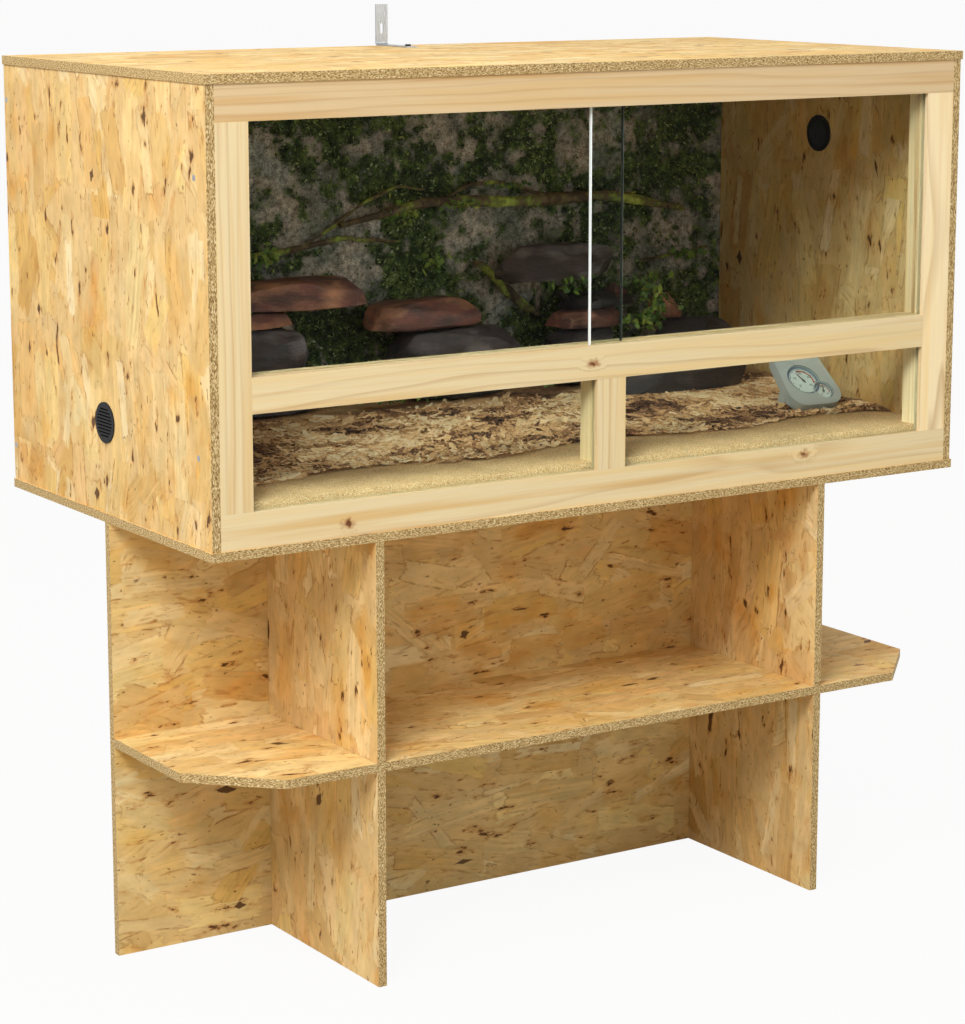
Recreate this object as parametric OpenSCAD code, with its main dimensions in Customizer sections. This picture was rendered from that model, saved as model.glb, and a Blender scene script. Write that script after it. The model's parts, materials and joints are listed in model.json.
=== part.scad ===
// Wooden vivarium: a board cabinet with sliding glass doors on a slotted board stand,
// with the stones, bedding, backdrop and dial instrument that lie in it.
// Millimetres. X runs along the cabinet, the doors face -Y, Z is up and the floor is z = 0.

/* [Boards] */
// Thickness of every board
board_t = 12; // [9:1:18]
// Clearance on each side of a board in its slot
slot_fit = 0.25; // [0.1:0.05:0.5]

/* [Cabinet] */
// Length of the cabinet
cabinet_w = 1200; // [1100:10:1500]
// Depth of the cabinet, front to back
cabinet_d = 595; // [560:5:700]
// Height of the cabinet
cabinet_h = 597; // [560:1:760]
// Step from the edges of the top and bottom boards in to the sides and the front frame
overhang = 2; // [1:0.5:5]

/* [Front frame] */
// Width of a batten, as seen from the front
batten_w = 46; // [38:1:56]
// Depth of a batten, front to back
batten_d = 40; // [38:1:50]
// Clear height of the fixed windows below the middle rail
window_h = 122; // [90:1:150]

/* [Glass] */
// Thickness of the glass
glass_t = 6; // [4:0.5:7]
// Clearance on each side of the glass in its groove
track_fit = 0.6; // [0.3:0.1:0.8]
// Wood between the two door grooves
track_rib = 4.8; // [4:0.2:6]
// Wood in front of the front groove
track_inset = 6.9; // [6:0.1:9]
// Depth of the groove over the doors, deep enough to lift them out
top_groove = 14; // [12:1:18]
// Depth of the groove under the doors
bottom_groove = 6; // [5:1:8]
// Depth of the grooves up the stiles and round the fixed panes
side_groove = 8; // [6:1:10]
// Part of a door that stands in the top groove
door_engage = 7; // [6:0.5:9]
// Gap at the edge of a pane or a closed door
edge_gap = 1; // [0.5:0.1:1.5]
// Gap under a door or a pane
glide_gap = 0.3; // [0.2:0.1:0.6]
// Width over which the closed doors overlap
door_overlap = 60; // [30:1:90]

/* [Vents] */
// Diameter of the hole for a vent
vent_bore = 50; // [40:1:60]
// Diameter of a vent's flange
vent_flange = 54; // [48:1:70]
// Thickness of a vent's flange
flange_t = 2; // [1.5:0.1:2]
// Wall of a vent's tube
vent_wall = 1.8; // [1.4:0.1:2.4]
// Clearance round a vent's tube
vent_fit = 0.1; // [0.05:0.01:0.2]
// Width of a vent's slots
louvre_gap = 2.2; // [1.6:0.1:3]
// Spacing of a vent's slots
louvre_pitch = 4.4; // [4:0.1:6]
// Height of a vent's centre from the nearer outer board
vent_inset = 133; // [100:1:170]

/* [Stand] */
// Height of the stand
stand_h = 595; // [450:5:750]
// Distance of a divider's middle from the stand's middle
divider_x = 360; // [280:5:450]
// Height of the middle of the shelf
shelf_z = 297; // [200:1:330]
// Legs of the corner cut off the shelf's front
shelf_chamfer = 100; // [60:5:140]

/* [Fasteners] */
// Diameter of a dowel in a board's edge
board_dowel_d = 6; // [5:1:6]
// Length of a dowel in a board's edge
board_dowel_l = 20; // [18:1:24]
// Depth of that dowel in the top or bottom board
dowel_seat = 8; // [6:0.5:8]
// Diameter of a dowel between battens
frame_dowel_d = 8; // [6:1:8]
// Length of a dowel between battens
frame_dowel_l = 40; // [30:1:44]
// Clearance round a dowel or a screw
fastener_fit = 0.05; // [0.02:0.01:0.1]
// Diameter of a side screw's shank
screw_d = 4; // [3.5:0.5:4.5]
// Diameter of a side screw's countersunk head
screw_head_d = 8; // [7:0.5:9]
// Length of a side screw
screw_l = 35; // [30:1:40]
// Distance of the front side screws from the outer top and bottom faces
front_screw_inset = 126; // [110:1:180]
// Distance of the rear side screws from the outer top and bottom faces
rear_screw_inset = 60; // [40:1:90]

/* [Wall bracket] */
// Width of the wall bracket
bracket_w = 20; // [16:1:30]
// Thickness of the wall bracket
bracket_t = 2; // [1.5:0.1:3]
// Length of the leg on the top board
bracket_foot = 86; // [60:1:120]
// Height of the leg against the wall
bracket_leg = 60; // [50:1:100]
// Width of the slot for the wall screw
wall_slot_w = 5.2; // [4.6:0.1:7]
// Length of the slot for the wall screw
wall_slot_l = 16; // [12:1:20]
// Height of the slot's middle over the top board
wall_slot_z = 25; // [20:1:35]
// Diameter of the bracket screw's shank
bracket_screw_d = 4; // [3:0.5:5]
// Diameter of the bracket screw's head
bracket_head_d = 8.5; // [7:0.5:11]
// Distance from the back of the top board to the bracket screw
bracket_screw_y = 76; // [40:1:80]

/* [Bedding] */
// Height of the sand over the bottom rail
sand_over_rail = 11; // [6:1:20]
// Rise of the bark from the sand to where the stones lie
bark_rise = 20; // [12:1:26]
// Width of the sand strip behind the front frame
sand_strip = 80; // [60:1:110]
// Sway of the line between sand and bark
sand_sway = 32; // [0:1:40]
// Height of the bark over the sand where they meet
bark_edge = 4; // [3:0.5:6]
// Height of the humps in the bark
bark_hump = 5; // [0:0.5:8]

/* [Backdrop] */
// Greatest thickness of the backdrop's rocks
backdrop_t = 44; // [36:1:50]
// Depth of the hollows in the backdrop
backdrop_hollow = 17; // [6:1:20]
// Diameter of the upper branch on the backdrop
upper_branch_d = 22; // [14:1:30]
// Diameter of the lower branch
lower_branch_d = 16; // [10:1:18]

/* [Stones] */
// Gap between the backdrop and the stones
stone_gap = 6; // [3:1:12]
// Scale of the stones' length and depth
stone_size = 1; // [0.8:0.05:1.1]
// Scale of the stones' thickness
stone_thick = 1; // [0.8:0.05:1.1]

/* [Instrument] */
// Width of the instrument's case at its foot
case_w = 92; // [85:1:110]
// Width of the case at its top
case_top_w = 82; // [76:1:84]
// Length of the sloping face
case_l = 105; // [98:1:120]
// Slope of the face above level, in degrees
case_slope = 42; // [35:1:46]
// Height of the face's lower edge over the bark
case_lip = 9; // [8:1:12]
// Thickness of the case
case_t = 16; // [15:0.5:20]
// Width of the rib that props the case from behind
case_rib = 30; // [20:1:40]
// Radius of the case's corners
case_r = 24; // [15:1:26]
// Diameter of the thermometer's dial
thermo_d = 54; // [46:1:56]
// Diameter of the hygrometer's dial
hygro_d = 31; // [27:1:32]
// Wall round the hygrometer's recess
dial_wall = 1.2; // [1:0.1:1.6]
// Depth of the recess that holds a dial
dial_recess = 5; // [4.5:0.1:6]
// Thickness of a dial
dial_t = 1; // [0.6:0.1:1.2]
// Thickness of a dial's lens
lens_t = 1.4; // [1:0.1:1.8]
// Thickness of a needle
needle_t = 0.6; // [0.4:0.1:0.8]
// Diameter of the arbor that a needle turns on
arbor_d = 1.6; // [1.2:0.1:2]
// Clearance of a needle's hub round its arbor
hub_fit = 0.05; // [0.02:0.01:0.1]

/* [Hidden] */
STONES = 18;
CABINET_NODES = ["top_panel", "bottom_panel", "left_side_panel", "right_side_panel", "back_panel",
    "top_rail", "middle_rail", "bottom_rail", "left_stile", "right_stile", "mullion",
    "left_door", "right_door", "left_fixed_pane", "right_fixed_pane",
    "left_vent_outer", "left_vent_inner", "right_vent_outer", "right_vent_inner",
    "board_dowels", "frame_dowels", "side_screws", "wall_bracket", "bracket_screw"];
STAND_NODES = ["centre_panel", "left_divider", "right_divider", "shelf"];
HABITAT_NODES = ["backdrop", "upper_branch", "lower_branch", "sand_bed", "bark_bed",
    "instrument_case", "thermometer_dial", "hygrometer_dial", "thermometer_needle",
    "hygrometer_needle", "needle_arbors", "dial_lenses"];
STONE_NODES = [for (i = [1:STONES]) str("slate_", i)];

// Colours
osb = "#d9b777";
pine = "#e8cfa4";
glass = [0.75, 0.85, 0.82, 0.35];
black = "#1c1c20";
zinc = "#b9bdc2";

// Levels and planes of the cabinet
half_w = cabinet_w / 2;
half_d = cabinet_d / 2;
inner_w = cabinet_w - 2 * (overhang + board_t);
floor_z = stand_h + board_t;
top_z = stand_h + cabinet_h;
ceiling_z = top_z - board_t;
side_x = half_w - overhang;
frame_y = -half_d + overhang;
frame_back = frame_y + batten_d;
back_y = half_d - board_t;
side_mid_y = (frame_y + half_d) / 2;
sill_z = floor_z + batten_w;
window_top = sill_z + window_h;
door_sill = window_top + batten_w;
lintel_z = ceiling_z - batten_w;
opening_w = inner_w - 2 * batten_w;

// Door grooves, from the front of the frame
groove_w = glass_t + 2 * track_fit;
front_track = frame_y + track_inset + groove_w / 2;
rear_track = front_track + groove_w + track_rib;
rear_wood = (rear_track + groove_w / 2 + frame_back) / 2;
closed_x = opening_w / 2 + side_groove - edge_gap;
door_w = closed_x + door_overlap / 2;
door_z = door_sill - bottom_groove + glide_gap;
door_h = lintel_z + door_engage - door_z;

// Bedding levels
sand_z = sill_z + sand_over_rail;
seat_z = sand_z + bark_rise;
backdrop_y = back_y - backdrop_t;
stone_back = backdrop_y - stone_gap;
EPS = 0.01;

module board(size, at) {
    color(osb) translate(at) cube(size);
}

// A pin along one of the axes, grown for a hole when grow is above 0
module pin(at, axis, d, l, grow = 0) {
    turn = axis == "x" ? [0, 90, 0] : axis == "y" ? [-90, 0, 0] : [0, 0, 0];
    translate(at) rotate(turn)
        translate([0, 0, -grow]) cylinder(d = d + 2 * grow, h = l + 2 * grow, $fn = 32);
}

// Dowels between the boards

// Places of the dowels that stand in the top and bottom boards
function board_dowel_places() = concat(
    [for (s = [-1, 1], y = [-0.34, 0, 0.34]) [s * (side_x - board_t / 2), side_mid_y + y * cabinet_d]],
    [for (x = [-0.34, 0, 0.34]) [x * cabinet_w, rear_wood]],
    [for (x = [-0.34, 0, 0.34]) [x * cabinet_w, half_d - board_t / 2]]);

module board_dowel_set(grow = 0) {
    for (p = board_dowel_places()) {
        pin([p[0], p[1], floor_z - dowel_seat], "z", board_dowel_d, board_dowel_l, grow);
        pin([p[0], p[1], ceiling_z + dowel_seat - board_dowel_l], "z", board_dowel_d, board_dowel_l, grow);
    }
}

module frame_dowel_set(grow = 0) {
    half = frame_dowel_l / 2;
    stile_x = (inner_w - batten_w) / 2;
    for (s = [-1, 1]) {
        for (z = [sill_z, lintel_z])
            pin([s * stile_x, rear_wood, z - half], "z", frame_dowel_d, frame_dowel_l, grow);
        pin([s * opening_w / 2 - half, rear_wood, window_top + batten_w / 2 - bottom_groove / 2],
            "x", frame_dowel_d, frame_dowel_l, grow);
    }
    for (z = [sill_z, window_top])
        pin([0, rear_wood, z - half], "z", frame_dowel_d, frame_dowel_l, grow);
}

// Countersunk screw along +X from its head, which is flush at the origin
module side_screw(grow = 0) {
    taper = (screw_head_d - screw_d) / 2;
    rotate([0, 90, 0]) {
        translate([0, 0, -grow]) cylinder(d = screw_d + 2 * grow, h = screw_l + 2 * grow, $fn = 32);
        cylinder(d1 = screw_head_d + 2 * grow, d2 = screw_d + 2 * grow, h = taper, $fn = 32);
    }
}

function side_screw_places() = concat(
    [for (z = [stand_h + front_screw_inset, top_z - front_screw_inset]) [rear_wood, z]],
    [for (z = [stand_h + rear_screw_inset, top_z - rear_screw_inset]) [half_d - board_t / 2, z]]);

module side_screw_set(grow = 0) {
    for (s = [0, 1], p = side_screw_places())
        mirror([s, 0, 0]) translate([-side_x, p[0], p[1]]) side_screw(grow);
}

module all_holes() {
    board_dowel_set(fastener_fit);
    frame_dowel_set(fastener_fit);
    side_screw_set(fastener_fit);
}

module board_dowels() {
    color(pine) board_dowel_set();
}

module frame_dowels() {
    color(pine) frame_dowel_set();
}

module side_screws() {
    color(zinc) side_screw_set();
}

// Cabinet boards

module bracket_screw_hole() {
    translate([0, half_d - bracket_screw_y, top_z - board_t + 1])
        cylinder(d = bracket_screw_d + 2 * fastener_fit, h = board_t, $fn = 32);
}

module top_panel() {
    color(osb) difference() {
        board([cabinet_w, cabinet_d, board_t], [-half_w, -half_d, ceiling_z]);
        board_dowel_set(fastener_fit);
        bracket_screw_hole();
    }
}

module bottom_panel() {
    color(osb) difference() {
        board([cabinet_w, cabinet_d, board_t], [-half_w, -half_d, stand_h]);
        board_dowel_set(fastener_fit);
    }
}

function vent_z(side) = side < 0 ? stand_h + vent_inset : top_z - vent_inset;

module side_panel(side) {
    color(osb) difference() {
        board([board_t, half_d - frame_y, ceiling_z - floor_z],
            [side < 0 ? -side_x : side_x - board_t, frame_y, floor_z]);
        board_dowel_set(fastener_fit);
        side_screw_set(fastener_fit);
        translate([side * side_x, side_mid_y, vent_z(side)]) rotate([0, 90, 0])
            cylinder(d = vent_bore, h = 3 * board_t, center = true, $fn = 96);
    }
}

module left_side_panel() {
    side_panel(-1);
}

module right_side_panel() {
    side_panel(1);
}

module back_panel() {
    color(osb) difference() {
        board([inner_w, board_t, ceiling_z - floor_z], [-inner_w / 2, back_y, floor_z]);
        board_dowel_set(fastener_fit);
        side_screw_set(fastener_fit);
    }
}

// Front frame

// A groove along X or Z, as a cutter
module groove(track_y, at, size) {
    translate([at[0], track_y - groove_w / 2, at[1]]) cube([size[0], groove_w, size[1]]);
}

module rail(z) {
    translate([-inner_w / 2, frame_y, z]) cube([inner_w, batten_d, batten_w]);
}

module top_rail() {
    color(pine) difference() {
        rail(lintel_z);
        for (y = [front_track, rear_track])
            groove(y, [-opening_w / 2 - side_groove, lintel_z - 1],
                [opening_w + 2 * side_groove, top_groove + 1]);
        all_holes();
    }
}

module middle_rail() {
    color(pine) difference() {
        translate([-opening_w / 2, frame_y, window_top]) cube([opening_w, batten_d, batten_w]);
        for (y = [front_track, rear_track])
            groove(y, [-opening_w / 2 - 1, door_sill - bottom_groove], [opening_w + 2, bottom_groove + 1]);
        groove(front_track, [-opening_w / 2 - 1, window_top - 1], [opening_w + 2, side_groove + 1]);
        all_holes();
    }
}

module bottom_rail() {
    color(pine) difference() {
        rail(floor_z);
        groove(front_track, [-opening_w / 2 - side_groove, sill_z - side_groove],
            [opening_w + 2 * side_groove, side_groove + 1]);
        all_holes();
    }
}

module stile(side) {
    from = side < 0 ? -inner_w / 2 : opening_w / 2;
    cut = side < 0 ? -opening_w / 2 - side_groove : opening_w / 2 - 1;
    color(pine) difference() {
        translate([from, frame_y, sill_z]) cube([batten_w, batten_d, lintel_z - sill_z]);
        groove(front_track, [cut, sill_z - 1], [side_groove + 1, lintel_z - sill_z + 2]);
        groove(rear_track, [cut, door_sill - bottom_groove],
            [side_groove + 1, lintel_z - door_sill + bottom_groove + 1]);
        all_holes();
    }
}

module left_stile() {
    stile(-1);
}

module right_stile() {
    stile(1);
}

module mullion() {
    color(pine) difference() {
        translate([-batten_w / 2, frame_y, sill_z]) cube([batten_w, batten_d, window_h]);
        for (s = [-1, 1])
            groove(front_track, [s * batten_w / 2 - (s < 0 ? 1 : side_groove), sill_z - 1],
                [side_groove + 1, window_h + 2]);
        all_holes();
    }
}

// Glass

// The left door runs in the rear groove and the right door in the front one
module door(side) {
    y = side < 0 ? rear_track : front_track;
    color(glass) translate([side < 0 ? -closed_x : closed_x - door_w, y - glass_t / 2, door_z])
        cube([door_w, glass_t, door_h]);
}

module left_door() {
    door(-1);
}

module right_door() {
    door(1);
}

module fixed_pane(side) {
    width = (opening_w - batten_w) / 2 + 2 * (side_groove - edge_gap);
    from = batten_w / 2 - side_groove + edge_gap;
    bottom = sill_z - side_groove + glide_gap;
    height = window_h + 2 * side_groove - glide_gap - edge_gap;
    color(glass) translate([side < 0 ? -from - width : from, front_track - glass_t / 2, bottom])
        cube([width, glass_t, height]);
}

module left_fixed_pane() {
    fixed_pane(-1);
}

module right_fixed_pane() {
    fixed_pane(1);
}

// Vents: an outer and an inner grille whose tubes push together in the side panel's hole

// Slots across a disc of radius r, drawn flat
module louvres(r, turn) {
    count = floor((r - louvre_gap / 2) / louvre_pitch);
    rotate(turn) for (i = [-count:count]) {
        y = i * louvre_pitch;
        half = sqrt(r * r - pow(abs(y) + louvre_gap / 2, 2));
        translate([-half, y - louvre_gap / 2]) square([2 * half, louvre_gap]);
    }
}

// One grille standing on z = 0 with its tube upwards
module grille(tube_d, tube_l, turn) {
    hole_r = tube_d / 2 - vent_wall;
    difference() {
        union() {
            translate([0, 0, -flange_t]) cylinder(d = vent_flange, h = flange_t, $fn = 96);
            cylinder(d = tube_d, h = tube_l, $fn = 96);
        }
        cylinder(r = hole_r, h = tube_l + 1, $fn = 96);
        translate([0, 0, -flange_t - 1]) linear_extrude(flange_t + 2) louvres(hole_r - 1, turn);
    }
}

module vent_outer(side) {
    color(black) translate([side * side_x, side_mid_y, vent_z(side)]) rotate([0, side < 0 ? 90 : -90, 0])
        grille(vent_bore - 2 * vent_fit, board_t - 1, 90);
}

module vent_inner(side) {
    tube = vent_bore - 2 * vent_fit - 2 * vent_wall - 2 * vent_fit;
    color(black) translate([side * (side_x - board_t), side_mid_y, vent_z(side)])
        rotate([0, side < 0 ? -90 : 90, 0]) grille(tube, board_t - 1, 0);
}

module left_vent_outer() {
    vent_outer(-1);
}

module left_vent_inner() {
    vent_inner(-1);
}

module right_vent_outer() {
    vent_outer(1);
}

module right_vent_inner() {
    vent_inner(1);
}

// Wall bracket

// Strip bent to an L, seen from its side, with a rounded bend
function bracket_outline() = let(bend = 1.5 * bracket_t)
    concat([[-bracket_foot, 0], [-bracket_foot, bracket_t], [-bend - bracket_t, bracket_t]],
        [for (a = [-90:15:0]) [-bend - bracket_t + bend * cos(a), bracket_t + bend + bend * sin(a)]],
        [[-bracket_t, bracket_leg], [0, bracket_leg]],
        [for (a = [0:-15:-90]) [-bend - bracket_t + (bend + bracket_t) * cos(a),
            bracket_t + bend + (bend + bracket_t) * sin(a)]]);

module wall_bracket() {
    color(zinc) difference() {
        translate([-bracket_w / 2, half_d, top_z]) rotate([90, 0, 90])
            linear_extrude(bracket_w) polygon(bracket_outline());
        bracket_screw_cut();
        wall_slot_cut();
    }
}

module bracket_screw_cut() {
    translate([0, half_d - bracket_screw_y, top_z - 1])
        cylinder(d = bracket_screw_d + 2 * fastener_fit, h = bracket_t + 2, $fn = 32);
}

// The wall screw can slide up and down in this slot
module wall_slot_cut() {
    straight = (wall_slot_l - wall_slot_w) / 2;
    translate([0, half_d + 1, top_z + wall_slot_z]) rotate([90, 0, 0])
        linear_extrude(bracket_t + 2) union() {
            square([wall_slot_w, 2 * straight], center = true);
            for (s = [-1, 1]) translate([0, s * straight]) circle(d = wall_slot_w, $fn = 32);
        }
}

module bracket_screw() {
    head_h = bracket_head_d * 0.28;
    color(black) translate([0, half_d - bracket_screw_y, top_z + bracket_t]) {
        difference() {
            cylinder(d = bracket_head_d, h = head_h, $fn = 48);
            for (a = [0, 90]) translate([0, 0, head_h]) rotate(a)
                cube([bracket_head_d * 0.55, 0.9, 1.6], center = true);
        }
        translate([0, 0, -bracket_t - board_t + 2])
            cylinder(d = bracket_screw_d, h = bracket_t + board_t - 2, $fn = 32);
    }
}

// Stand

slot_w = board_t + 2 * slot_fit;
shelf_back = -board_t / 2;
shelf_front = -half_d;
shelf_lap = (shelf_back + shelf_front) / 2;
stand_lap = stand_h / 2;

module centre_panel() {
    color(osb) difference() {
        board([cabinet_w, board_t, stand_h], [-half_w, -board_t / 2, 0]);
        for (s = [-1, 1])
            translate([s * divider_x - slot_w / 2, -board_t, stand_lap])
                cube([slot_w, 2 * board_t, stand_h]);
    }
}

module divider(side) {
    color(osb) difference() {
        board([board_t, cabinet_d, stand_h], [side * divider_x - board_t / 2, -half_d, 0]);
        translate([side * divider_x - board_t, -slot_w / 2, -1]) cube([2 * board_t, slot_w, stand_lap + 1]);
        translate([side * divider_x - board_t, shelf_front - 1, shelf_z - slot_w / 2])
            cube([2 * board_t, shelf_lap - shelf_front + 1, slot_w]);
    }
}

module left_divider() {
    divider(-1);
}

module right_divider() {
    divider(1);
}

module shelf() {
    outline = [[-half_w, shelf_back], [-half_w, shelf_front + shelf_chamfer],
        [-half_w + shelf_chamfer, shelf_front], [half_w - shelf_chamfer, shelf_front],
        [half_w, shelf_front + shelf_chamfer], [half_w, shelf_back]];
    color(osb) translate([0, 0, shelf_z - board_t / 2]) difference() {
        linear_extrude(board_t) polygon(outline);
        for (s = [-1, 1])
            translate([s * divider_x - slot_w / 2, shelf_lap, -1])
                cube([slot_w, shelf_back - shelf_lap + 1, board_t + 2]);
    }
}

// Bedding and backdrop

// A steady wave of three sines, from about -1 to 1
function wave(a, b) = (sin(a) + sin(1.7 * b + 40) + sin(a * 0.6 - b * 1.3 + 110)) / 3;

// A solid under a sheet of rows by cols points. Its level underside runs between the points of
// low, under the sheet's first row, and of high, under its last one
module relief(sheet, rows, cols, low, high) {
    lo = rows * cols;
    hi = lo + cols;
    far = lo - cols;
    face = [for (r = [0:rows - 2], c = [0:cols - 2]) let(p = r * cols + c)
        each [[p, p + cols, p + 1], [p + 1, p + cols, p + cols + 1]]];
    rims = [for (c = [0:cols - 2])
        each [[c, c + 1, lo + c + 1, lo + c], [far + c + 1, far + c, hi + c, hi + c + 1]]];
    left = concat([lo, hi], [for (r = [rows - 1:-1:0]) r * cols]);
    right = concat([lo + cols - 1], [for (r = [0:rows - 1]) r * cols + cols - 1], [hi + cols - 1]);
    under = [for (c = [0:cols - 2]) [lo + c, lo + c + 1, hi + c + 1, hi + c]];
    polyhedron(points = concat(sheet, low, high), faces = concat(face, rims, [left, right], under),
        convexity = 6);
}

bed_cols = 37;
bed_rows = 15;
bed_xs = [for (c = [0:bed_cols - 1]) inner_w * (c / (bed_cols - 1) - 0.5)];

// Line between the sand and the bark
function sand_line(x) = frame_back + sand_strip + sand_sway * wave(x * 0.9, x * 0.55);

// Instrument seat
inst_x = inner_w / 2 - 149;
inst_y = frame_y + 153.5;
inst_turn = -2;
inst_z = sand_z + bark_edge;
case_run = case_l * cos(case_slope) + case_t * sin(case_slope);
inst_clear = 46;

// The footprint of the instrument, grown by the clear margin
function by_instrument(x, y) =
    let(c = cos(inst_turn), s = sin(inst_turn), dx = x - inst_x, dy = y - inst_y,
        u = dx * c + dy * s, v = dy * c - dx * s)
    u > -inst_clear && u < case_w + inst_clear && v > -inst_clear && v < case_run + inst_clear;

// The front stone lies apart from the heap, so the bark is level under it too
flat_y = stone_back - 130;
front_stone_zone = [inner_w * 0.16, inner_w * 0.47, stone_back - 270];

function by_stones(x, y) = y > flat_y
    || (x > front_stone_zone[0] && x < front_stone_zone[1] && y > front_stone_zone[2]);

function bark_z(x, y) =
    by_instrument(x, y) ? inst_z
    : by_stones(x, y) ? seat_z
    : let(run = (y - sand_line(x)) / (flat_y - 60 - sand_line(x)),
          rise = min(1, max(0, run)))
      sand_z + bark_edge + (bark_rise - bark_edge - bark_hump) * rise
      + bark_hump * wave(x * 2.3 + y, y * 2.9 - x * 0.7) * min(1, 0.35 + rise);

module sand_bed() {
    lip_y = front_track + glass_t / 2 + glide_gap;
    outline = concat([[-inner_w / 2, frame_back], [inner_w / 2, frame_back]],
        [for (i = [bed_cols - 1:-1:0]) [bed_xs[i], sand_line(bed_xs[i])]]);
    color("#cdb88a") {
        translate([0, 0, floor_z]) linear_extrude(sand_z - floor_z) polygon(outline);
        for (from = [-opening_w / 2, batten_w / 2])
            translate([from, lip_y, sill_z])
                cube([(opening_w - batten_w) / 2, frame_back - lip_y + EPS, sand_over_rail]);
    }
}

module bark_bed() {
    top = [for (r = [0:bed_rows - 1], x = bed_xs)
        let(y0 = sand_line(x), y = y0 + (backdrop_y - y0) * r / (bed_rows - 1))
        [x, y, bark_z(x, y)]];
    color("#5d4230") relief(top, bed_rows, bed_cols,
        [for (x = bed_xs) [x, sand_line(x), floor_z]],
        [for (x = bed_xs) [x, backdrop_y, floor_z]]);
}

// Rocks of the backdrop: middle as shares of its width and height, then half sizes in mm
boulders = [[-0.42, 0.30, 120, 80], [-0.27, 0.72, 150, 110], [-0.10, 0.42, 130, 90], [0.03, 0.80, 140, 90],
    [0.16, 0.50, 120, 100], [0.30, 0.76, 120, 90], [0.42, 0.40, 110, 110], [-0.45, 0.88, 90, 80]];

drop_cols = 37;
drop_rows = 19;

// Ends of the two branches: x as a share of the width, z as a share of the height over the bark
upper_ends = [[-0.106, 0.506], [0.439, 0.494]];
lower_ends = [[0.1075, 0.377], [0.158, 0.258]];
upper_bow = 36;
lower_bow = 6;
branch_pad = 48;

function share_x(s) = s * inner_w;
function share_z(s) = seat_z + s * (ceiling_z - seat_z);

function on_pad(x, z) = len([for (e = concat(upper_ends, lower_ends))
    if (norm([x - share_x(e[0]), z - share_z(e[1])]) < branch_pad) 1]) > 0;

// How far a backdrop point lies behind the front plane
function hollow(x, z) =
    z < seat_z + 20 || on_pad(x, z) || abs(x) > inner_w / 2 - 8 ? 0
    : let(near = max([for (b = boulders)
            1 - pow((x - share_x(b[0])) / b[2], 2) - pow((z - share_z(b[1])) / b[3], 2)]),
          bulge = sqrt(max(0, near)))
      backdrop_hollow * (1 - bulge) * (0.75 + 0.25 * wave(x * 3, z * 3));

module backdrop() {
    xs = [for (c = [0:drop_cols - 1]) inner_w * (c / (drop_cols - 1) - 0.5)];
    zs = [for (r = [0:drop_rows - 1]) floor_z + (ceiling_z - floor_z) * r / (drop_rows - 1)];
    color("#3c4236") relief([for (z = zs, x = xs) [x, backdrop_y + hollow(x, z), z]],
        drop_rows, drop_cols,
        [for (x = xs) [x, back_y, floor_z]],
        [for (x = xs) [x, back_y, ceiling_z]]);
}

// A branch leaves the backdrop, runs in front of it and comes back to it
branch_sides = 8;
branch_steps = 15;
branch_gap = 1;

// The first and last points lie on the backdrop, and the rest clear of it
function branch_point(ends, d, bow, i) =
    let(a = ends[0], b = ends[1], t = min(1, max(0, (i - 1) / (branch_steps - 2))),
        out = i == 0 || i == branch_steps ? 0 : d / 2 + branch_gap)
    [share_x(a[0] + (b[0] - a[0]) * t), backdrop_y - out,
     share_z(a[1] + (b[1] - a[1]) * t) + bow * sin(180 * t) * (1 + 0.3 * sin(520 * t))];

module branch(ends, d, bow) {
    n = branch_sides;
    k = branch_steps;
    pts = [for (i = [0:k]) branch_point(ends, d, bow, i)];
    rings = [for (i = [0:k])
        let(dir = i == 0 ? [0, -1, 0] : i == k ? [0, 1, 0] : pts[i + 1] - pts[i - 1],
            t = dir / norm(dir),
            up = [0, 0, 1] - t * t[2],
            u = up / norm(up),
            w = cross(t, u),
            r = d / 2 * (0.85 + 0.15 * sin(i * 100)))
        for (j = [0:n - 1]) pts[i] + r * (cos(360 * j / n) * u + sin(360 * j / n) * w)];
    tube = [for (i = [0:k - 1], j = [0:n - 1]) let(m = (j + 1) % n)
        each [[i * n + j, i * n + m, (i + 1) * n + j], [i * n + m, (i + 1) * n + m, (i + 1) * n + j]]];
    polyhedron(points = rings,
        faces = concat([[for (j = [n - 1:-1:0]) j]], tube, [[for (j = [0:n - 1]) k * n + j]]),
        convexity = 6);
}

module upper_branch() {
    color("#4c5a2e") branch(upper_ends, upper_branch_d, upper_bow);
}

module lower_branch() {
    color("#4c5a2e") branch(lower_ends, lower_branch_d, lower_bow);
}

// Stones

// Each row: middle as a share of the inner width, distance of its middle in front of the heap's
// back, length, depth, thickness, turn, the stone that it lies on (0 for the bark), colour
red = "#7a4a40";
slate_grey = "#4a4b50";
dark = "#2f2c2e";
stone_rows = [
    [-0.226, 52, 200, 100, 54, 4, 0, slate_grey],
    [-0.232, 50, 172, 94, 71, -4, 1, slate_grey],
    [-0.232, 51, 144, 92, 22, 5, 2, red],
    [-0.172, 52, 300, 98, 42, -2, 3, red],
    [0.048, 52, 252, 100, 53, 3, 0, dark],
    [0.044, 51, 268, 96, 51, -2, 5, slate_grey],
    [-0.002, 52, 242, 94, 43, 2, 6, red],
    [0.249, 52, 178, 100, 44, -2, 0, dark],
    [0.250, 51, 176, 96, 41, 2, 8, slate_grey],
    [0.251, 54, 178, 92, 30, -2, 9, red],
    [0.256, 56, 162, 84, 21, 3, 10, dark],
    [0.212, 57, 90, 78, 25, -2, 11, dark],
    [0.293, 57, 66, 74, 25, 2, 11, red],
    [0.192, 62, 256, 84, 55, 2, 12, slate_grey],
    [0.410, 52, 166, 98, 59, 2, 0, dark],
    [0.412, 51, 171, 92, 30, -2, 15, dark],
    [0.372, 48, 78, 80, 40, 8, 16, red],
    [0.312, 178, 322, 116, 45, -2, 0, dark]];

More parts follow.
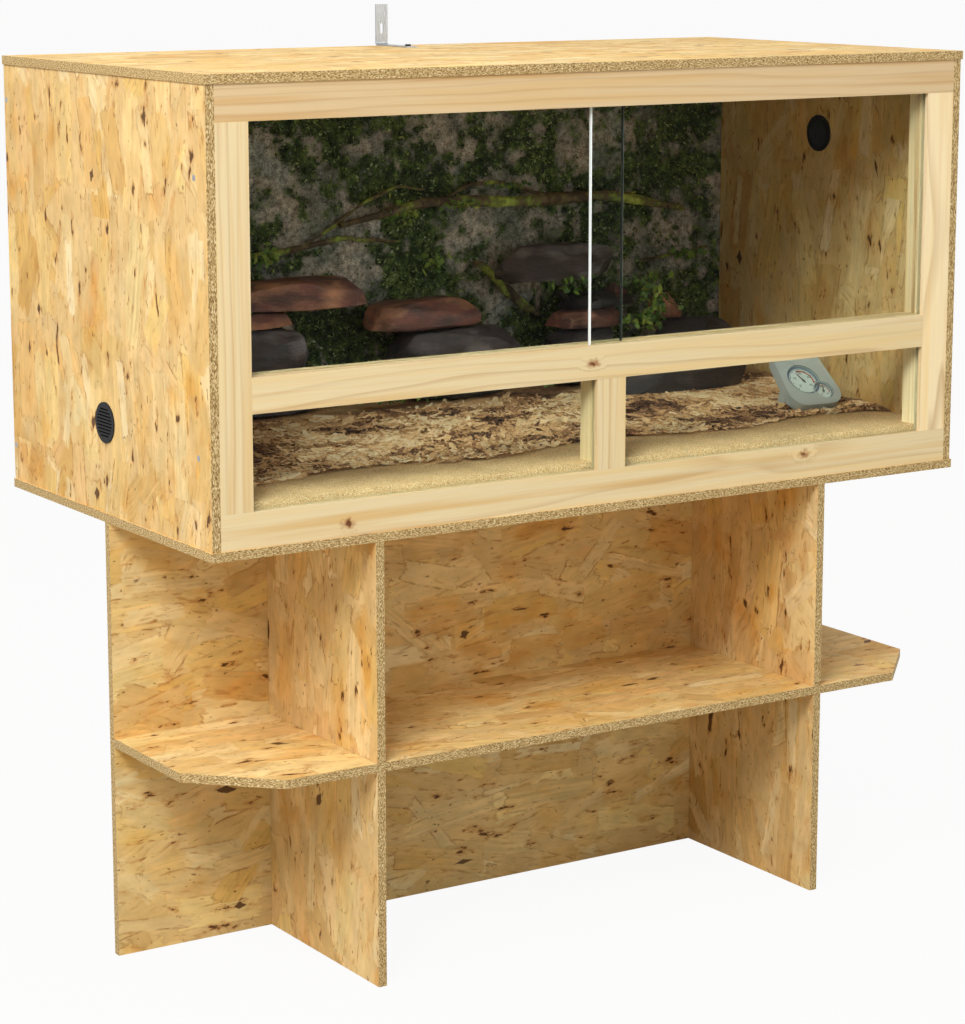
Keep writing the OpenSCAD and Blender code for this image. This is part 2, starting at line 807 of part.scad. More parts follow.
function stone_top(i) = i == 0 ? seat_z
    : stone_top(stone_rows[i - 1][6]) + stone_rows[i - 1][4] * stone_thick;

// An irregular flat stone whose top and bottom are level
module stone(i) {
    row = stone_rows[i - 1];
    z0 = stone_top(row[6]);
    h = row[4] * stone_thick;
    n = 12;
    levels = [[0, 0.86], [0.28, 0.99], [0.7, 1], [1, 0.84]];
    pts = [for (l = [0:3], j = [0:n - 1])
        let(a = 360 * j / n,
            rough = 1 + 0.07 * sin(a * 3 + i * 77) + 0.05 * sin(a * 5 + i * 31 + l * 40),
            boxy = 1 / pow(pow(abs(cos(a)), 3) + pow(abs(sin(a)), 3), 1 / 3),
            s = levels[l][1] * rough * boxy * 0.5 * 0.92)
        [row[2] * stone_size * s * cos(a), row[3] * stone_size * s * sin(a), levels[l][0] * h]];
    sides = [for (l = [0:2], j = [0:n - 1]) let(m = (j + 1) % n)
        each [[l * n + j, (l + 1) * n + j, l * n + m], [l * n + m, (l + 1) * n + j, (l + 1) * n + m]]];
    color(row[7]) translate([share_x(row[0]), stone_back - row[1] * stone_size, z0]) rotate(row[5])
        polyhedron(points = pts,
            faces = concat([[for (j = [0:n - 1]) j]], sides, [[for (j = [n - 1:-1:0]) 3 * n + j]]));
}

// Instrument

// The hygrometer's ring takes a bite out of the thermometer, as far as its needle lets it
thermo_at = [40, 48];
thermo_reach = 0.3 * thermo_d;
hygro_reach = 0.4 * hygro_d;
tip_gap = 0.7;
hub_step = thermo_reach + tip_gap + dial_wall + hygro_d / 2;
hub_lean = 42;
hygro_at = thermo_at + hub_step * [cos(hub_lean), -sin(hub_lean)];
arbor_l = dial_recess - lens_t - 0.4;

module on_bark() {
    translate([inst_x, inst_y, inst_z]) rotate(inst_turn) children();
}

// Places children with X across the face, Y up the slope and Z out of it, from the face's foot
module on_face() {
    on_bark() translate([0, 0, case_lip]) rotate([case_slope, 0, 0]) children();
}

// Outline of the face with round corners, as points
function case_corner(at, from) = [for (a = [from:15:from + 90]) at + case_r * [cos(a), sin(a)]];

function case_outline() = let(in = (case_w - case_top_w) / 2) concat(
    case_corner([case_r, case_r], 180),
    case_corner([case_w - case_r, case_r], 270),
    case_corner([case_w - in - case_r, case_l - case_r], 0),
    case_corner([in + case_r, case_l - case_r], 90));

// Point on the middle plane of the case, as its run and rise over the bark
function case_mid(b) = [b * cos(case_slope) + case_t / 2 * sin(case_slope),
    case_lip + b * sin(case_slope) - case_t / 2 * cos(case_slope)];

module instrument_case() {
    color("#9aa3a4") difference() {
        union() {
            intersection() {
                on_face() translate([0, 0, -case_t]) linear_extrude(case_t) polygon(case_outline());
                on_bark() cube([2 * case_w, 2 * case_l, 2 * case_l]);
            }
            on_bark() translate([(case_w - case_rib) / 2, 0, 0]) rotate([90, 0, 90])
                linear_extrude(case_rib)
                    polygon([case_mid(0.55 * case_l), case_mid(0.8 * case_l),
                        [case_run, 0], [case_run - case_rib / 2, 0]]);
        }
        on_face() translate([0, 0, -dial_recess]) linear_extrude(dial_recess + 1) {
            thermometer_shape();
            hygrometer_shape();
        }
    }
}

// Outlines of the two recesses, or with a gap those of what lies in them
module hygrometer_shape(gap = 0) {
    translate(hygro_at) circle(d = hygro_d - 2 * gap, $fn = 96);
}

module thermometer_shape(gap = 0) {
    difference() {
        translate(thermo_at) circle(d = thermo_d - 2 * gap, $fn = 96);
        translate(hygro_at) circle(d = hygro_d + 2 * (dial_wall + gap), $fn = 96);
    }
}

// The dial whose outline is given as a child, with a hole for the arbor
module dial(at) {
    on_face() translate([0, 0, -dial_recess]) linear_extrude(dial_t) difference() {
        children();
        translate(at) circle(d = arbor_d, $fn = 32);
    }
}

module thermometer_dial() {
    color("#dfe4ea") dial(thermo_at) thermometer_shape(hub_fit);
}

module hygrometer_dial() {
    color("#dfe4ea") dial(hygro_at) hygrometer_shape(hub_fit);
}

module needle_arbors() {
    color(zinc) on_face() for (at = [thermo_at, hygro_at])
        translate([at[0], at[1], -dial_recess]) cylinder(d = arbor_d, h = arbor_l, $fn = 32);
}

// A pointer with a round hub and a short tail, turned from straight up the face
module needle(at, reach, turn) {
    hub_r = arbor_d / 2 + 1.1;
    lift = dial_t + 0.5;
    on_face() translate([at[0], at[1], -dial_recess + lift]) rotate(turn) difference() {
        union() {
            cylinder(r = hub_r, h = needle_t * 1.6, $fn = 48);
            linear_extrude(needle_t) polygon([[-0.9, -reach * 0.3], [0.9, -reach * 0.3],
                [0.7, reach * 0.6], [0, reach], [-0.7, reach * 0.6]]);
        }
        translate([0, 0, -1]) cylinder(d = arbor_d + 2 * hub_fit, h = 4, $fn = 32);
    }
}

module thermometer_needle() {
    color(black) needle(thermo_at, thermo_reach, 25);
}

module hygrometer_needle() {
    color(black) needle(hygro_at, hygro_reach, -20);
}

module dial_lenses() {
    color(glass) on_face() translate([0, 0, -lens_t]) linear_extrude(lens_t) {
        thermometer_shape(hub_fit);
        hygrometer_shape(hub_fit);
    }
}

// Cabinet
top_panel();
bottom_panel();
left_side_panel();
right_side_panel();
back_panel();
top_rail();
middle_rail();
bottom_rail();
left_stile();
right_stile();
mullion();
left_door();
right_door();
left_fixed_pane();
right_fixed_pane();
left_vent_outer();
left_vent_inner();
right_vent_outer();
right_vent_inner();
board_dowels();
frame_dowels();
side_screws();
wall_bracket();
bracket_screw();

// Stand
centre_panel();
left_divider();
right_divider();
shelf();

// Habitat
backdrop();
upper_branch();
lower_branch();
sand_bed();
bark_bed();
instrument_case();
thermometer_dial();
hygrometer_dial();
thermometer_needle();
hygrometer_needle();
needle_arbors();
dial_lenses();
for (i = [1:STONES])
    stone(i);
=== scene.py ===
"""Looks of the wooden vivarium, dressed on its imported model.

Boards and small metal parts keep their CAD solids, and the battens and the instrument's case are
merged copies of them with eased edges. Panes, stones, bedding, backdrop, branches and greenery are
surfaces worked out with numpy from the same solids. Sizes are in metres unless a name ends in _mm,
and materials reckon in millimetres.
"""

from __future__ import annotations

import json
import logging
import math
from collections.abc import Callable
from dataclasses import dataclass
from enum import Enum
from functools import cached_property, partial

import bmesh
import bpy
import numpy as np
from mathutils import Matrix, Vector

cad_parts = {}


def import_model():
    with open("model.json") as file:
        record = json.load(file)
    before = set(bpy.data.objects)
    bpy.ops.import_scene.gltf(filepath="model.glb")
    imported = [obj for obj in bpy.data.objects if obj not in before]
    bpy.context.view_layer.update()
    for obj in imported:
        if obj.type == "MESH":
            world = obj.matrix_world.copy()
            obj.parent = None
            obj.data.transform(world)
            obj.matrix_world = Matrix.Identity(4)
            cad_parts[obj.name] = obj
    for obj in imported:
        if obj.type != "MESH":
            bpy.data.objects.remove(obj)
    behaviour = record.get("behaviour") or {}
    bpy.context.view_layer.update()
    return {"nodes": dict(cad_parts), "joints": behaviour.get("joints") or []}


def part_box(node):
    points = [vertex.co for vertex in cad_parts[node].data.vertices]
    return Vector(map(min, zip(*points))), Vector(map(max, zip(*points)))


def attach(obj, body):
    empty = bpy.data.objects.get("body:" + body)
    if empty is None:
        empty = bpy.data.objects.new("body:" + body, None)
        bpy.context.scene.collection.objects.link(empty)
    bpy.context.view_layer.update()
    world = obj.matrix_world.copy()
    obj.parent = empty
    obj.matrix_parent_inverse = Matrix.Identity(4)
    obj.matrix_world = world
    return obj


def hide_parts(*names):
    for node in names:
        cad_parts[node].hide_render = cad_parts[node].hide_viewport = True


LOG = logging.getLogger("vivarium")
MM = 0.001
IMAGE_LONG_SIDE_PX = 1024
SENSOR_MM = 36.0

Socket = bpy.types.NodeSocket
Stops = tuple[tuple[float, str], ...]
Triple = tuple[float, float, float]
Shape = tuple[np.ndarray, list]


class Axis(Enum):
    """One of the part's three axes."""

    X = 0
    Y = 1
    Z = 2


def by_axis(axis: Axis, there: float, elsewhere: float) -> Triple:
    """Returns a number for each axis: the first for the named one, the second for the others."""
    return tuple(there if each is axis else elsewhere for each in Axis)


# Colour and shader nodes


def linear(code: str) -> tuple[float, float, float, float]:
    """Turns an sRGB hex colour to linear.

    Args:
        code: the colour as #rrggbb.

    Returns:
        Red, green, blue and an alpha of 1.
    """
    channels = [int(code[i : i + 2], 16) / 255 for i in (1, 3, 5)]
    red, green, blue = (c / 12.92 if c <= 0.04045 else ((c + 0.055) / 1.055) ** 2.4 for c in channels)
    return red, green, blue, 1.0


def add_node(tree: bpy.types.NodeTree, kind: str, sockets: dict | None = None, output: int | str = 0,
             stops: Stops = (), **settings: object) -> Socket | bpy.types.Node:
    """Adds one shader node.

    Args:
        tree: the tree that the node goes into.
        kind: the node's type, without the leading ShaderNode.
        sockets: a value or a source socket for each input, by its name or number.
        output: the output to return, by its name or number.
        stops: position and hex colour of each stop, in order, where the node is a Color Ramp.
        **settings: the node's own settings.

    Returns:
        That output, or the node where it has none.
    """
    node = tree.nodes.new("ShaderNode" + kind)
    for name, value in settings.items():
        setattr(node, name, value)
    for key, value in (sockets or {}).items():
        if isinstance(value, Socket):
            tree.links.new(value, node.inputs[key])
        else:
            node.inputs[key].default_value = value
    for _ in stops[2:]:
        node.color_ramp.elements.new(1.0)
    for index, (position, code) in enumerate(stops):
        element = node.color_ramp.elements[index]
        element.position = position
        element.color = linear(code)
    return node.outputs[output] if node.outputs else node


class Surface:
    """A material under construction, with its main shader and the place on the piece."""

    def __init__(self, name: str, **levels: float) -> None:
        """Makes the material with one Principled shader.

        Args:
            name: the material's name.
            **levels: the shader's own values, named as its sockets with _ for a space.
        """
        self.material = bpy.data.materials.new(name)
        self.material.use_nodes = True
        self.material.node_tree.nodes.clear()
        self.add = partial(add_node, self.material.node_tree)
        sockets = {key.replace("_", " "): value for key, value in levels.items()}
        self.shader = self.add("BsdfPrincipled", sockets)
        self.output = self.add("OutputMaterial", {"Surface": self.shader})

    def feed(self, name: str, source: Socket) -> None:
        """Links a source to one of the shader's sockets."""
        self.material.node_tree.links.new(source, self.shader.node.inputs[name])

    @cached_property
    def place(self) -> Socket:
        """Object coordinates in millimetres."""
        where = self.add("TexCoord", output="Object")
        return self.add("VectorMath", {0: where, 1: (1 / MM,) * 3}, operation="MULTIPLY")

    def mottle(self, where: Socket, scale: Triple, detail: float = 2.0, output: str = "Fac") -> Socket:
        """An uneven pattern: noise on stretched coordinates.

        Args:
            where: coordinates in millimetres.
            scale: blotches per millimetre along each axis.
            detail: how many finer sizes of blotches are laid over the first.
            output: Fac for one pattern, or Color for three at once.

        Returns:
            The pattern, about 0.5 on average.
        """
        at = self.add("VectorMath", {0: where, 1: scale}, operation="MULTIPLY")
        return self.add("TexNoise", {"Vector": at, "Scale": 1.0, "Detail": detail}, output)

    def glaze(self, colour: Socket | tuple, *coats: Socket | tuple) -> Socket:
        """Lays clear glazes over a colour, one after another. Each multiplies what is below it.

        Args:
            colour: the colour below.
            *coats: colours or numbers, from the first coat to the last.

        Returns:
            The glazed colour.
        """
        for coat in coats:
            layers = {0: 1.0, 6: colour, 7: coat}
            colour = self.add("Mix", layers, 2, data_type="RGBA", blend_type="MULTIPLY")
        return colour

    def shade(self, colour: Socket | tuple, pattern: Socket, dark: float, light: float,
              low: float = 0.3, high: float = 0.7) -> Socket:
        """Darkens and lightens a colour by a pattern.

        Args:
            colour: the colour.
            pattern: the pattern.
            dark: factor where the pattern is low.
            light: factor where it is high.
            low: the pattern's low value.
            high: its high value.

        Returns:
            The shaded colour.
        """
        return self.glaze(colour, self.add("MapRange", {0: pattern, 1: low, 2: high, 3: dark, 4: light}))

    def stain(self, colour: Socket | tuple, code: str, pattern: Socket, low: float, high: float,
              most: float = 1.0) -> Socket:
        """Lays a stain over a colour where a pattern rises from low to high.

        Args:
            colour: the colour below.
            code: the stain's hex colour.
            pattern: the pattern.
            low: its value where the stain starts.
            high: its value where the stain is full.
            most: how much of the colour below a full stain covers.

        Returns:
            The stained colour.
        """
        share = self.add("MapRange", {0: pattern, 1: low, 2: high, 3: 0.0, 4: most})
        return self.add("Mix", {0: share, 6: colour, 7: linear(code)}, 2, data_type="RGBA")

    def relief(self, height: Socket, depth_mm: float, strength: float) -> None:
        """Bumps the surface.

        Args:
            height: the height from 0 to 1.
            depth_mm: what a height of 1 stands for.
            strength: how much of it the light sees.
        """
        bump = {"Height": height, "Distance": depth_mm * MM, "Strength": strength}
        self.feed("Normal", self.add("Bump", bump))

    def painted(self, colour: Socket) -> bpy.types.Material:
        """Paints the surface and returns the finished material."""
        self.feed("Base Color", colour)
        return self.material

    def mixed(self, share: Socket, other: Socket) -> bpy.types.Material:
        """Mixes another shader in.

        Args:
            share: how much of the other shader shows.
            other: the other shader.

        Returns:
            The finished material.
        """
        both = self.add("MixShader", {0: share, 1: self.shader, 2: other})
        self.material.node_tree.links.new(both, self.output.inputs["Surface"])
        return self.material


@dataclass(frozen=True)
class StrandLayer:
    """One layer of pressed strands: one strand in each cell of a grid, turned and sized at random.

    Sizes are across the main direction of the strands and then along it. The salt picks the random
    numbers, keep is the share of cells that hold a strand, and soft is half its outline's width.
    """

    pitch: tuple[float, float]
    least: tuple[float, float]
    most: tuple[float, float]
    lean_deg: float
    salt: float
    keep: float = 1.0
    soft: float = 1.3
    pointed: bool = False

    def lay(self, add: Callable, point: Socket, ragged: Socket, below: dict) -> dict:
        """Lays the layer over those below it.

        Each cell's own random numbers move, turn and size its strand. A point inside the strand
        takes the strand's numbers, and a point near its outline takes a broken dark line of painted
        shade.

        Args:
            add: adds a node to the material.
            point: place on the board, across, along and by face.
            ragged: how far the outlines fray here.
            below: what is on top so far: dice, local place and rim of painted shade.

        Returns:
            The same with this layer on top, and its cover.
        """
        sway, edge_shade_width, out_of_reach = 0.35, 1.5, 1000.0
        (wide, long), (least_x, least_y), (most_x, most_y) = self.pitch, self.least, self.most
        back, lean = sway / 2 - 0.5, math.radians(self.lean_deg)
        salts = (self.salt * 0.37, self.salt * 0.61, self.salt * 7.0)
        at = add("VectorMath", {0: point, 1: (1 / wide, 1 / long, 1.0), 2: salts}, operation="MULTIPLY_ADD")
        cell = add("VectorMath", {0: at}, operation="FLOOR")
        within = add("VectorMath", {0: at}, operation="FRACTION")
        dice = add("TexWhiteNoise", {"Vector": cell}, "Color", noise_dimensions="3D")
        more = add("TexWhiteNoise", {"Vector": cell, "W": self.salt + 0.5}, "Color", noise_dimensions="4D")
        moved = add("VectorMath", {0: dice, 1: (-sway, -sway, 0), 2: within}, operation="MULTIPLY_ADD")
        offset = add("VectorMath", {0: moved, 1: (wide, long, 0), 2: (back * wide, back * long, 0)},
                     operation="MULTIPLY_ADD")
        rolls = add("SeparateXYZ", {0: dice}).node.outputs
        angle = add("Math", {0: rolls[2], 1: 2 * lean, 2: -lean}, operation="MULTIPLY_ADD")
        local = add("VectorRotate", {"Vector": offset, "Angle": angle}, rotation_type="Z_AXIS")
        half = add("VectorMath", {0: more, 1: (most_x - least_x, most_y - least_y, 0),
                                  2: (least_x, least_y, 1.0)}, operation="MULTIPLY_ADD")
        away = add("VectorMath", {0: local}, operation="ABSOLUTE")
        if self.pointed:
            # A sliver: shares of the half sizes add up to 1 on the outline
            share = add("VectorMath", {0: away, 1: half}, operation="DIVIDE")
            shares = add("SeparateXYZ", {0: share}).node.outputs
            total = add("Math", {0: shares[0], 1: shares[1]}, operation="ADD")
            distance = add("Math", {0: total, 1: most_x, 2: ragged}, operation="MULTIPLY_ADD")
            distance = add("Math", {0: distance, 1: most_x}, operation="SUBTRACT")
        else:
            # Straight sides and frayed ends
            gap = add("VectorMath", {0: away, 1: half}, operation="SUBTRACT")
            gaps = add("SeparateXYZ", {0: gap}).node.outputs
            end = add("Math", {0: ragged, 1: 2.2, 2: gaps[1]}, operation="MULTIPLY_ADD")
            side = add("Math", {0: ragged, 1: 0.35, 2: gaps[0]}, operation="MULTIPLY_ADD")
            distance = add("Math", {0: side, 1: end}, operation="MAXIMUM")
        if self.keep < 1:
            left_out = add("Math", {0: rolls[0], 1: self.keep}, operation="GREATER_THAN")
            distance = add("Math", {0: left_out, 1: out_of_reach, 2: distance}, operation="MULTIPLY_ADD")
        inside = add("MapRange", {0: distance, 1: -self.soft, 2: self.soft, 3: 1.0, 4: 0.0})
        # Painted shade: a dark band 1.5 mm each side of the outline, as strong as the strand's second random
        # number
        near = add("Math", {0: distance}, operation="ABSOLUTE")
        rim = add("MapRange", {0: near, 1: 0.0, 2: edge_shade_width, 3: 1.0, 4: 0.0})
        rim = add("Math", {0: rim, 1: rolls[1]}, operation="MULTIPLY")
        outside = add("Math", {0: 1.0, 1: inside}, operation="SUBTRACT")
        edge_shade_below = add("Math", {0: below["rim"], 1: outside}, operation="MULTIPLY")
        seeded = add("VectorMath", {0: dice, 1: (300.0,) * 3, 2: local}, operation="MULTIPLY_ADD")
        covered = add("Math", {0: inside, 1: 0.5}, operation="GREATER_THAN")
        return {
            "dice": add("Mix", {0: inside, 4: below["dice"], 5: more}, 1, data_type="VECTOR"),
            "local": add("Mix", {0: covered, 4: below["local"], 5: seeded}, 1, data_type="VECTOR"),
            "rim": add("Math", {0: rim, 1: edge_shade_below}, operation="MAXIMUM"),
            "cover": inside,
        }


STRAND_LAYERS = (
    StrandLayer((96, 100), (10, 28), (26, 50), 66, 1),
    StrandLayer((56, 132), (9, 36), (22, 64), 16, 2),
    StrandLayer((102, 98), (8, 26), (24, 50), 60, 4, 0.7),
    StrandLayer((52, 126), (7, 32), (20, 62), 14, 5),
    StrandLayer((92, 108), (6, 26), (18, 52), 52, 7, 0.55),
    StrandLayer((58, 120), (5, 28), (15, 60), 22, 8, 0.7),
)
PATCH_LAYER = StrandLayer((84, 112), (3, 16), (10, 46), 24, 10, 0.26, 2.5, pointed=True)
KNOT_LAYER = StrandLayer((170, 210), (3.5, 8), (7, 18), 35, 14, 0.4, 0.9, pointed=True)


@dataclass(frozen=True)
class StrandBoard:
    """Oriented strand board, pressed from poplar and pine strands and sanded, matt.

    To the eye: wide overlapping strands in close straw tones, most along one direction, each with
    its own fibres, broken brown lines of painted shade where strands dip at their edges, dark flecks
    of bark, and speckled cut edges.
    The two faces of a board take strands of their own, because the face step tells them apart.
    """

    name: str
    across: Axis
    along: Axis
    thick: Axis
    patch_share: float = 0.3
    # A tint for the board's plane: painted light, matched to the hue that plane takes in its light and shade
    cast: Triple = (1.0, 1.0, 1.0)
    face_step_mm: float = 5.0
    face_offset_mm: float = 1.7
    strand_scale: float = 0.74

    def build(self) -> bpy.types.Material:
        """Builds the material.

        Returns:
            The finished material.
        """
        surface = Surface(self.name, Roughness=0.62, Specular_IOR_Level=0.2)
        add = surface.add
        ways = add("SeparateXYZ", {0: surface.place}).node.outputs
        offset = self.face_offset_mm / self.face_step_mm
        level = add("Math", {0: ways[self.thick.value], 1: 1 / self.face_step_mm, 2: offset},
                    operation="MULTIPLY_ADD")
        level = add("Math", {0: level}, operation="FLOOR")
        level = add("Math", {0: level, 1: 0.5}, operation="ADD")
        plan = add("CombineXYZ", {0: ways[self.across.value], 1: ways[self.along.value], 2: level})
        # Outlines bend by up to 4 mm and fray by up to 3 mm, more across than along
        wobble = surface.mottle(plan, (0.03, 0.012, 1.0), 2.0, "Color")
        point = add("VectorMath", {0: wobble, 1: (12.0, 12.0, 0.0), 2: plan}, operation="MULTIPLY_ADD")
        stretch = (self.strand_scale, self.strand_scale, 1.0)
        strands = add("VectorMath", {0: point, 1: stretch}, operation="MULTIPLY")
        ragged = surface.mottle(plan, (0.16, 0.05, 1.0), 2.0)
        ragged = add("MapRange", {0: ragged, 1: 0.25, 2: 0.75, 3: -2.6, 4: 2.6})
        top = {"dice": (0.3, 0.3, 0.2), "local": plan, "rim": 0.0}
        for layer in STRAND_LAYERS:
            top = layer.lay(add, strands, ragged, top)
        colour = self._strand_colour(surface, plan, top)
        colour = self._flecks(surface, point, ragged, colour)
        # The strands' own chain of nodes stays out of the bump, which would work it out three times
        surface.relief(surface.mottle(plan, (0.3, 0.03, 1.0), 3.0), 0.3, 0.5)
        return surface.painted(self._cut_edges(surface, colour))

    def _strand_colour(self, surface: Surface, plan: Socket, top: dict) -> Socket:
        """Colours the top strands: a tone and a tint for each, its fibres, and its broken rim of painted
        shade.

        Args:
            surface: the material.
            plan: place on the board, across, along and by face.
            top: dice, local place and painted-shade rim of the strands on top.

        Returns:
            The colour.
        """
        add = surface.add
        rolls = add("SeparateXYZ", {0: top["dice"]}).node.outputs
        tone = add("ValToRGB", {0: rolls[2]}, stops=(
            (0.0, "#d0aa70"), (0.1, "#dcb77d"), (0.4, "#e1c088"), (0.65, "#e5c68f"), (0.88, "#e9cd99"),
            (1.0, "#ecd3a3")))
        tint = add("ValToRGB", {0: rolls[0]}, stops=(
            (0.0, "#ffffff"), (0.5, "#fffcf4"), (0.62, "#fff3e6"), (0.72, "#fff6d2"), (0.84, "#fffdf6"),
            (0.93, "#f5efd8"), (1.0, "#ffeed4")))
        # Fibres of each strand, drawn 4 mm apart and deep in a few, and cloudy stains of 60 mm
        fibre = surface.mottle(top["local"], (0.3, 0.011, 0.5), 1.0)
        depth = add("MapRange", {0: rolls[1], 1: 0.55, 2: 1.0, 3: 0.04, 4: 0.15})
        fibre = add("Math", {0: fibre, 1: 0.5}, operation="SUBTRACT")
        fibre = add("Math", {0: fibre, 1: 4.0}, operation="MULTIPLY")
        fibre = add("Math", {0: fibre, 1: depth, 2: 1.0}, operation="MULTIPLY_ADD")
        # The plane's cast is painted light, a tint for the hue that plane takes in its light and shade
        colour = surface.glaze(tone, tint, (*self.cast, 1.0), fibre)
        colour = surface.shade(colour, surface.mottle(plan, (0.055, 0.026, 1.0), 4.0), 0.86, 1.09)
        cloud = surface.mottle(plan, (0.016, 0.009, 1.0), 3.0)
        colour = surface.glaze(colour, add("ValToRGB", {0: cloud}, stops=(
            (0.3, "#fff3d8"), (0.45, "#ffffff"), (0.6, "#fffaf0"), (0.72, "#f7deb4"))))
        # Short gaps and resin streaks between the strands, 3 mm wide
        streak = surface.mottle(top["local"], (0.22, 0.045, 0.5), 3.0)
        colour = surface.stain(colour, "#ae7a3d", streak, 0.59, 0.72, 0.6)
        # The rim is painted shade, a broken brown line along each strand's outline where it dips
        broken = surface.mottle(plan, (0.05, 0.05, 1.0), 2.0)
        broken = add("MapRange", {0: broken, 1: 0.44, 2: 0.62, 3: 0.0, 4: 1.0})
        rim = add("Math", {0: top["rim"], 1: broken}, operation="MULTIPLY")
        return surface.stain(colour, "#a06c34", rim, 0.0, 1.0)

    def _flecks(self, surface: Surface, point: Socket, ragged: Socket, colour: Socket) -> Socket:
        """Lays resin-brown patches, ragged flecks of bark and a few knots over the strands.

        Args:
            surface: the material.
            point: place on the board with bent outlines.
            ragged: how far the outlines fray here.
            colour: the strands' colour.

        Returns:
            The colour with its flecks.
        """
        empty = {"dice": point, "local": point, "rim": ragged}
        patches = PATCH_LAYER.lay(surface.add, point, ragged, empty)["cover"]
        knots = KNOT_LAYER.lay(surface.add, point, ragged, empty)["cover"]
        # Peaks of noise: flecks of 10 mm with a tawny rim, and specks of 4 mm
        bark = surface.mottle(point, (0.075, 0.027, 1.0), 4.0)
        specks = surface.mottle(point, (0.21, 0.08, 1.0), 2.0)
        for code, pattern, low, high, most in (
            ("#d39650", patches, 0.0, 1.0, self.patch_share),
            ("#c08440", bark, 0.6, 0.69, 0.65),
            ("#43250f", bark, 0.674, 0.71, 0.9),
            ("#6f4620", specks, 0.69, 0.74, 0.75),
            ("#4a2812", knots, 0.0, 1.0, 0.9),
        ):
            colour = surface.stain(colour, code, pattern, low, high, most)
        return colour

    def _cut_edges(self, surface: Surface, colour: Socket) -> Socket:
        """Lays the speckled cut edge where the surface faces across the board's thickness.

        The real strands' ends are 0.7 mm thick. They are drawn 1.3 mm thick, so that they show.

        Args:
            surface: the material.
            colour: the faces' colour.

        Returns:
            The colour of faces and edges.
        """
        add = surface.add
        ways = add("SeparateXYZ", {0: add("TexCoord", output="Normal")}).node.outputs
        turned = add("Math", {0: ways[self.thick.value]}, operation="ABSOLUTE")
        face = add("Math", {0: turned, 1: 0.5}, operation="GREATER_THAN")
        speckle = surface.mottle(surface.place, by_axis(self.thick, 0.85, 0.33), 2.0)
        edge = add("ValToRGB", {0: speckle}, stops=(
            (0.3, "#6f5430"), (0.42, "#967748"), (0.5, "#b59661"), (0.6, "#d2b582"), (0.72, "#ebd8ac")))
        return add("Mix", {0: face, 6: edge, 7: colour}, 2, data_type="RGBA")


@dataclass(frozen=True)
class PlanedPine:
    """Planed knotty pine, unvarnished, satin.

    To the eye: pale cream wood with faint tan growth rings along the batten, and a few small
    brown knots. The rings are circles about the heart of the tree, beside the batten.
    """

    name: str
    along: Axis
    heart_mm: tuple[float, float]
    knots_mm: tuple[Triple, ...] = ()
    ring_mm: float = 8.0
    tone: str = "#e5cea2"

    def build(self) -> bpy.types.Material:
        """Builds the material.

        Returns:
            The finished material.
        """
        surface = Surface(self.name, Roughness=0.5, Specular_IOR_Level=0.3)
        add, place = surface.add, surface.place
        wobble = surface.mottle(place, by_axis(self.along, 0.0013, 0.011), 2.0, "Color")
        bent = add("VectorMath", {0: wobble, 1: (46.0,) * 3, 2: place}, operation="MULTIPLY_ADD")
        heart = [-v for v in self.heart_mm]
        heart.insert(self.along.value, 0.0)
        across = add("VectorMath", {0: bent, 1: by_axis(self.along, 0.0, 1.0), 2: heart},
                     operation="MULTIPLY_ADD")
        radius = add("VectorMath", {0: across}, "Value", operation="LENGTH")
        radius, knots = self._round_knots(surface, radius)
        ring = add("Math", {0: radius, 1: 1 / self.ring_mm}, operation="MULTIPLY")
        number = add("Math", {0: ring}, operation="FLOOR")
        strength = add("TexWhiteNoise", {"W": number}, noise_dimensions="1D")
        late = add("ValToRGB", {0: add("Math", {0: ring}, operation="FRACT")}, stops=(
            (0.0, "#000000"), (0.62, "#161616"), (0.92, "#ffffff"), (1.0, "#000000")))
        late = add("Math", {0: late, 1: strength}, operation="MULTIPLY")
        colour = surface.stain(linear(self.tone), "#b98f5c", late, 0.0, 1.0, 0.6)
        bands = surface.mottle(place, by_axis(self.along, 0.0016, 0.05), 3.0)
        colour = surface.glaze(colour, add("ValToRGB", {0: bands}, stops=(
            (0.32, "#fff6e2"), (0.5, "#ffffff"), (0.68, "#f4e2c4"))))
        fibre = surface.mottle(place, by_axis(self.along, 0.01, 0.7), 2.0)
        colour = surface.shade(colour, fibre, 0.965, 1.025)
        if self.knots_mm:
            colour = surface.stain(colour, "#a5642c", knots, 0.0, 1.0)
            colour = surface.shade(colour, knots, 1.0, 0.35, 0.6, 1.0)
        surface.relief(fibre, 0.12, 0.4)
        return surface.painted(colour)

    def _round_knots(self, surface: Surface, radius: Socket) -> tuple[Socket, Socket | float]:
        """Leads the growth rings round the knots.

        Args:
            surface: the material.
            radius: distance from the tree's heart.

        Returns:
            The distance with a bulge at each knot, and the knots' cover.
        """
        add, cover = surface.add, 0.0
        burr = surface.mottle(surface.place, (0.16,) * 3, 3.0)
        squash = by_axis(self.along, 0.62, 1.0)
        for knot in self.knots_mm:
            shift = [-k * s for k, s in zip(knot, squash)]
            away = add("VectorMath", {0: surface.place, 1: squash, 2: shift}, operation="MULTIPLY_ADD")
            near = add("VectorMath", {0: away}, "Value", operation="LENGTH")
            near = add("Math", {0: burr, 1: 14.0, 2: near}, operation="MULTIPLY_ADD")
            near = add("Math", {0: near, 1: 7.0}, operation="SUBTRACT")
            # Rings bulge round the knot and fall back to straight 16 mm away
            pull = add("MapRange", {0: near, 1: 1.0, 2: 16.0, 3: 6.0, 4: 0.0})
            radius = add("Math", {0: radius, 1: pull}, operation="ADD")
            dark = add("MapRange", {0: near, 1: 1.5, 2: 8.0, 3: 1.0, 4: 0.0})
            cover = add("Math", {0: cover, 1: dark}, operation="MAXIMUM")
        return radius, cover


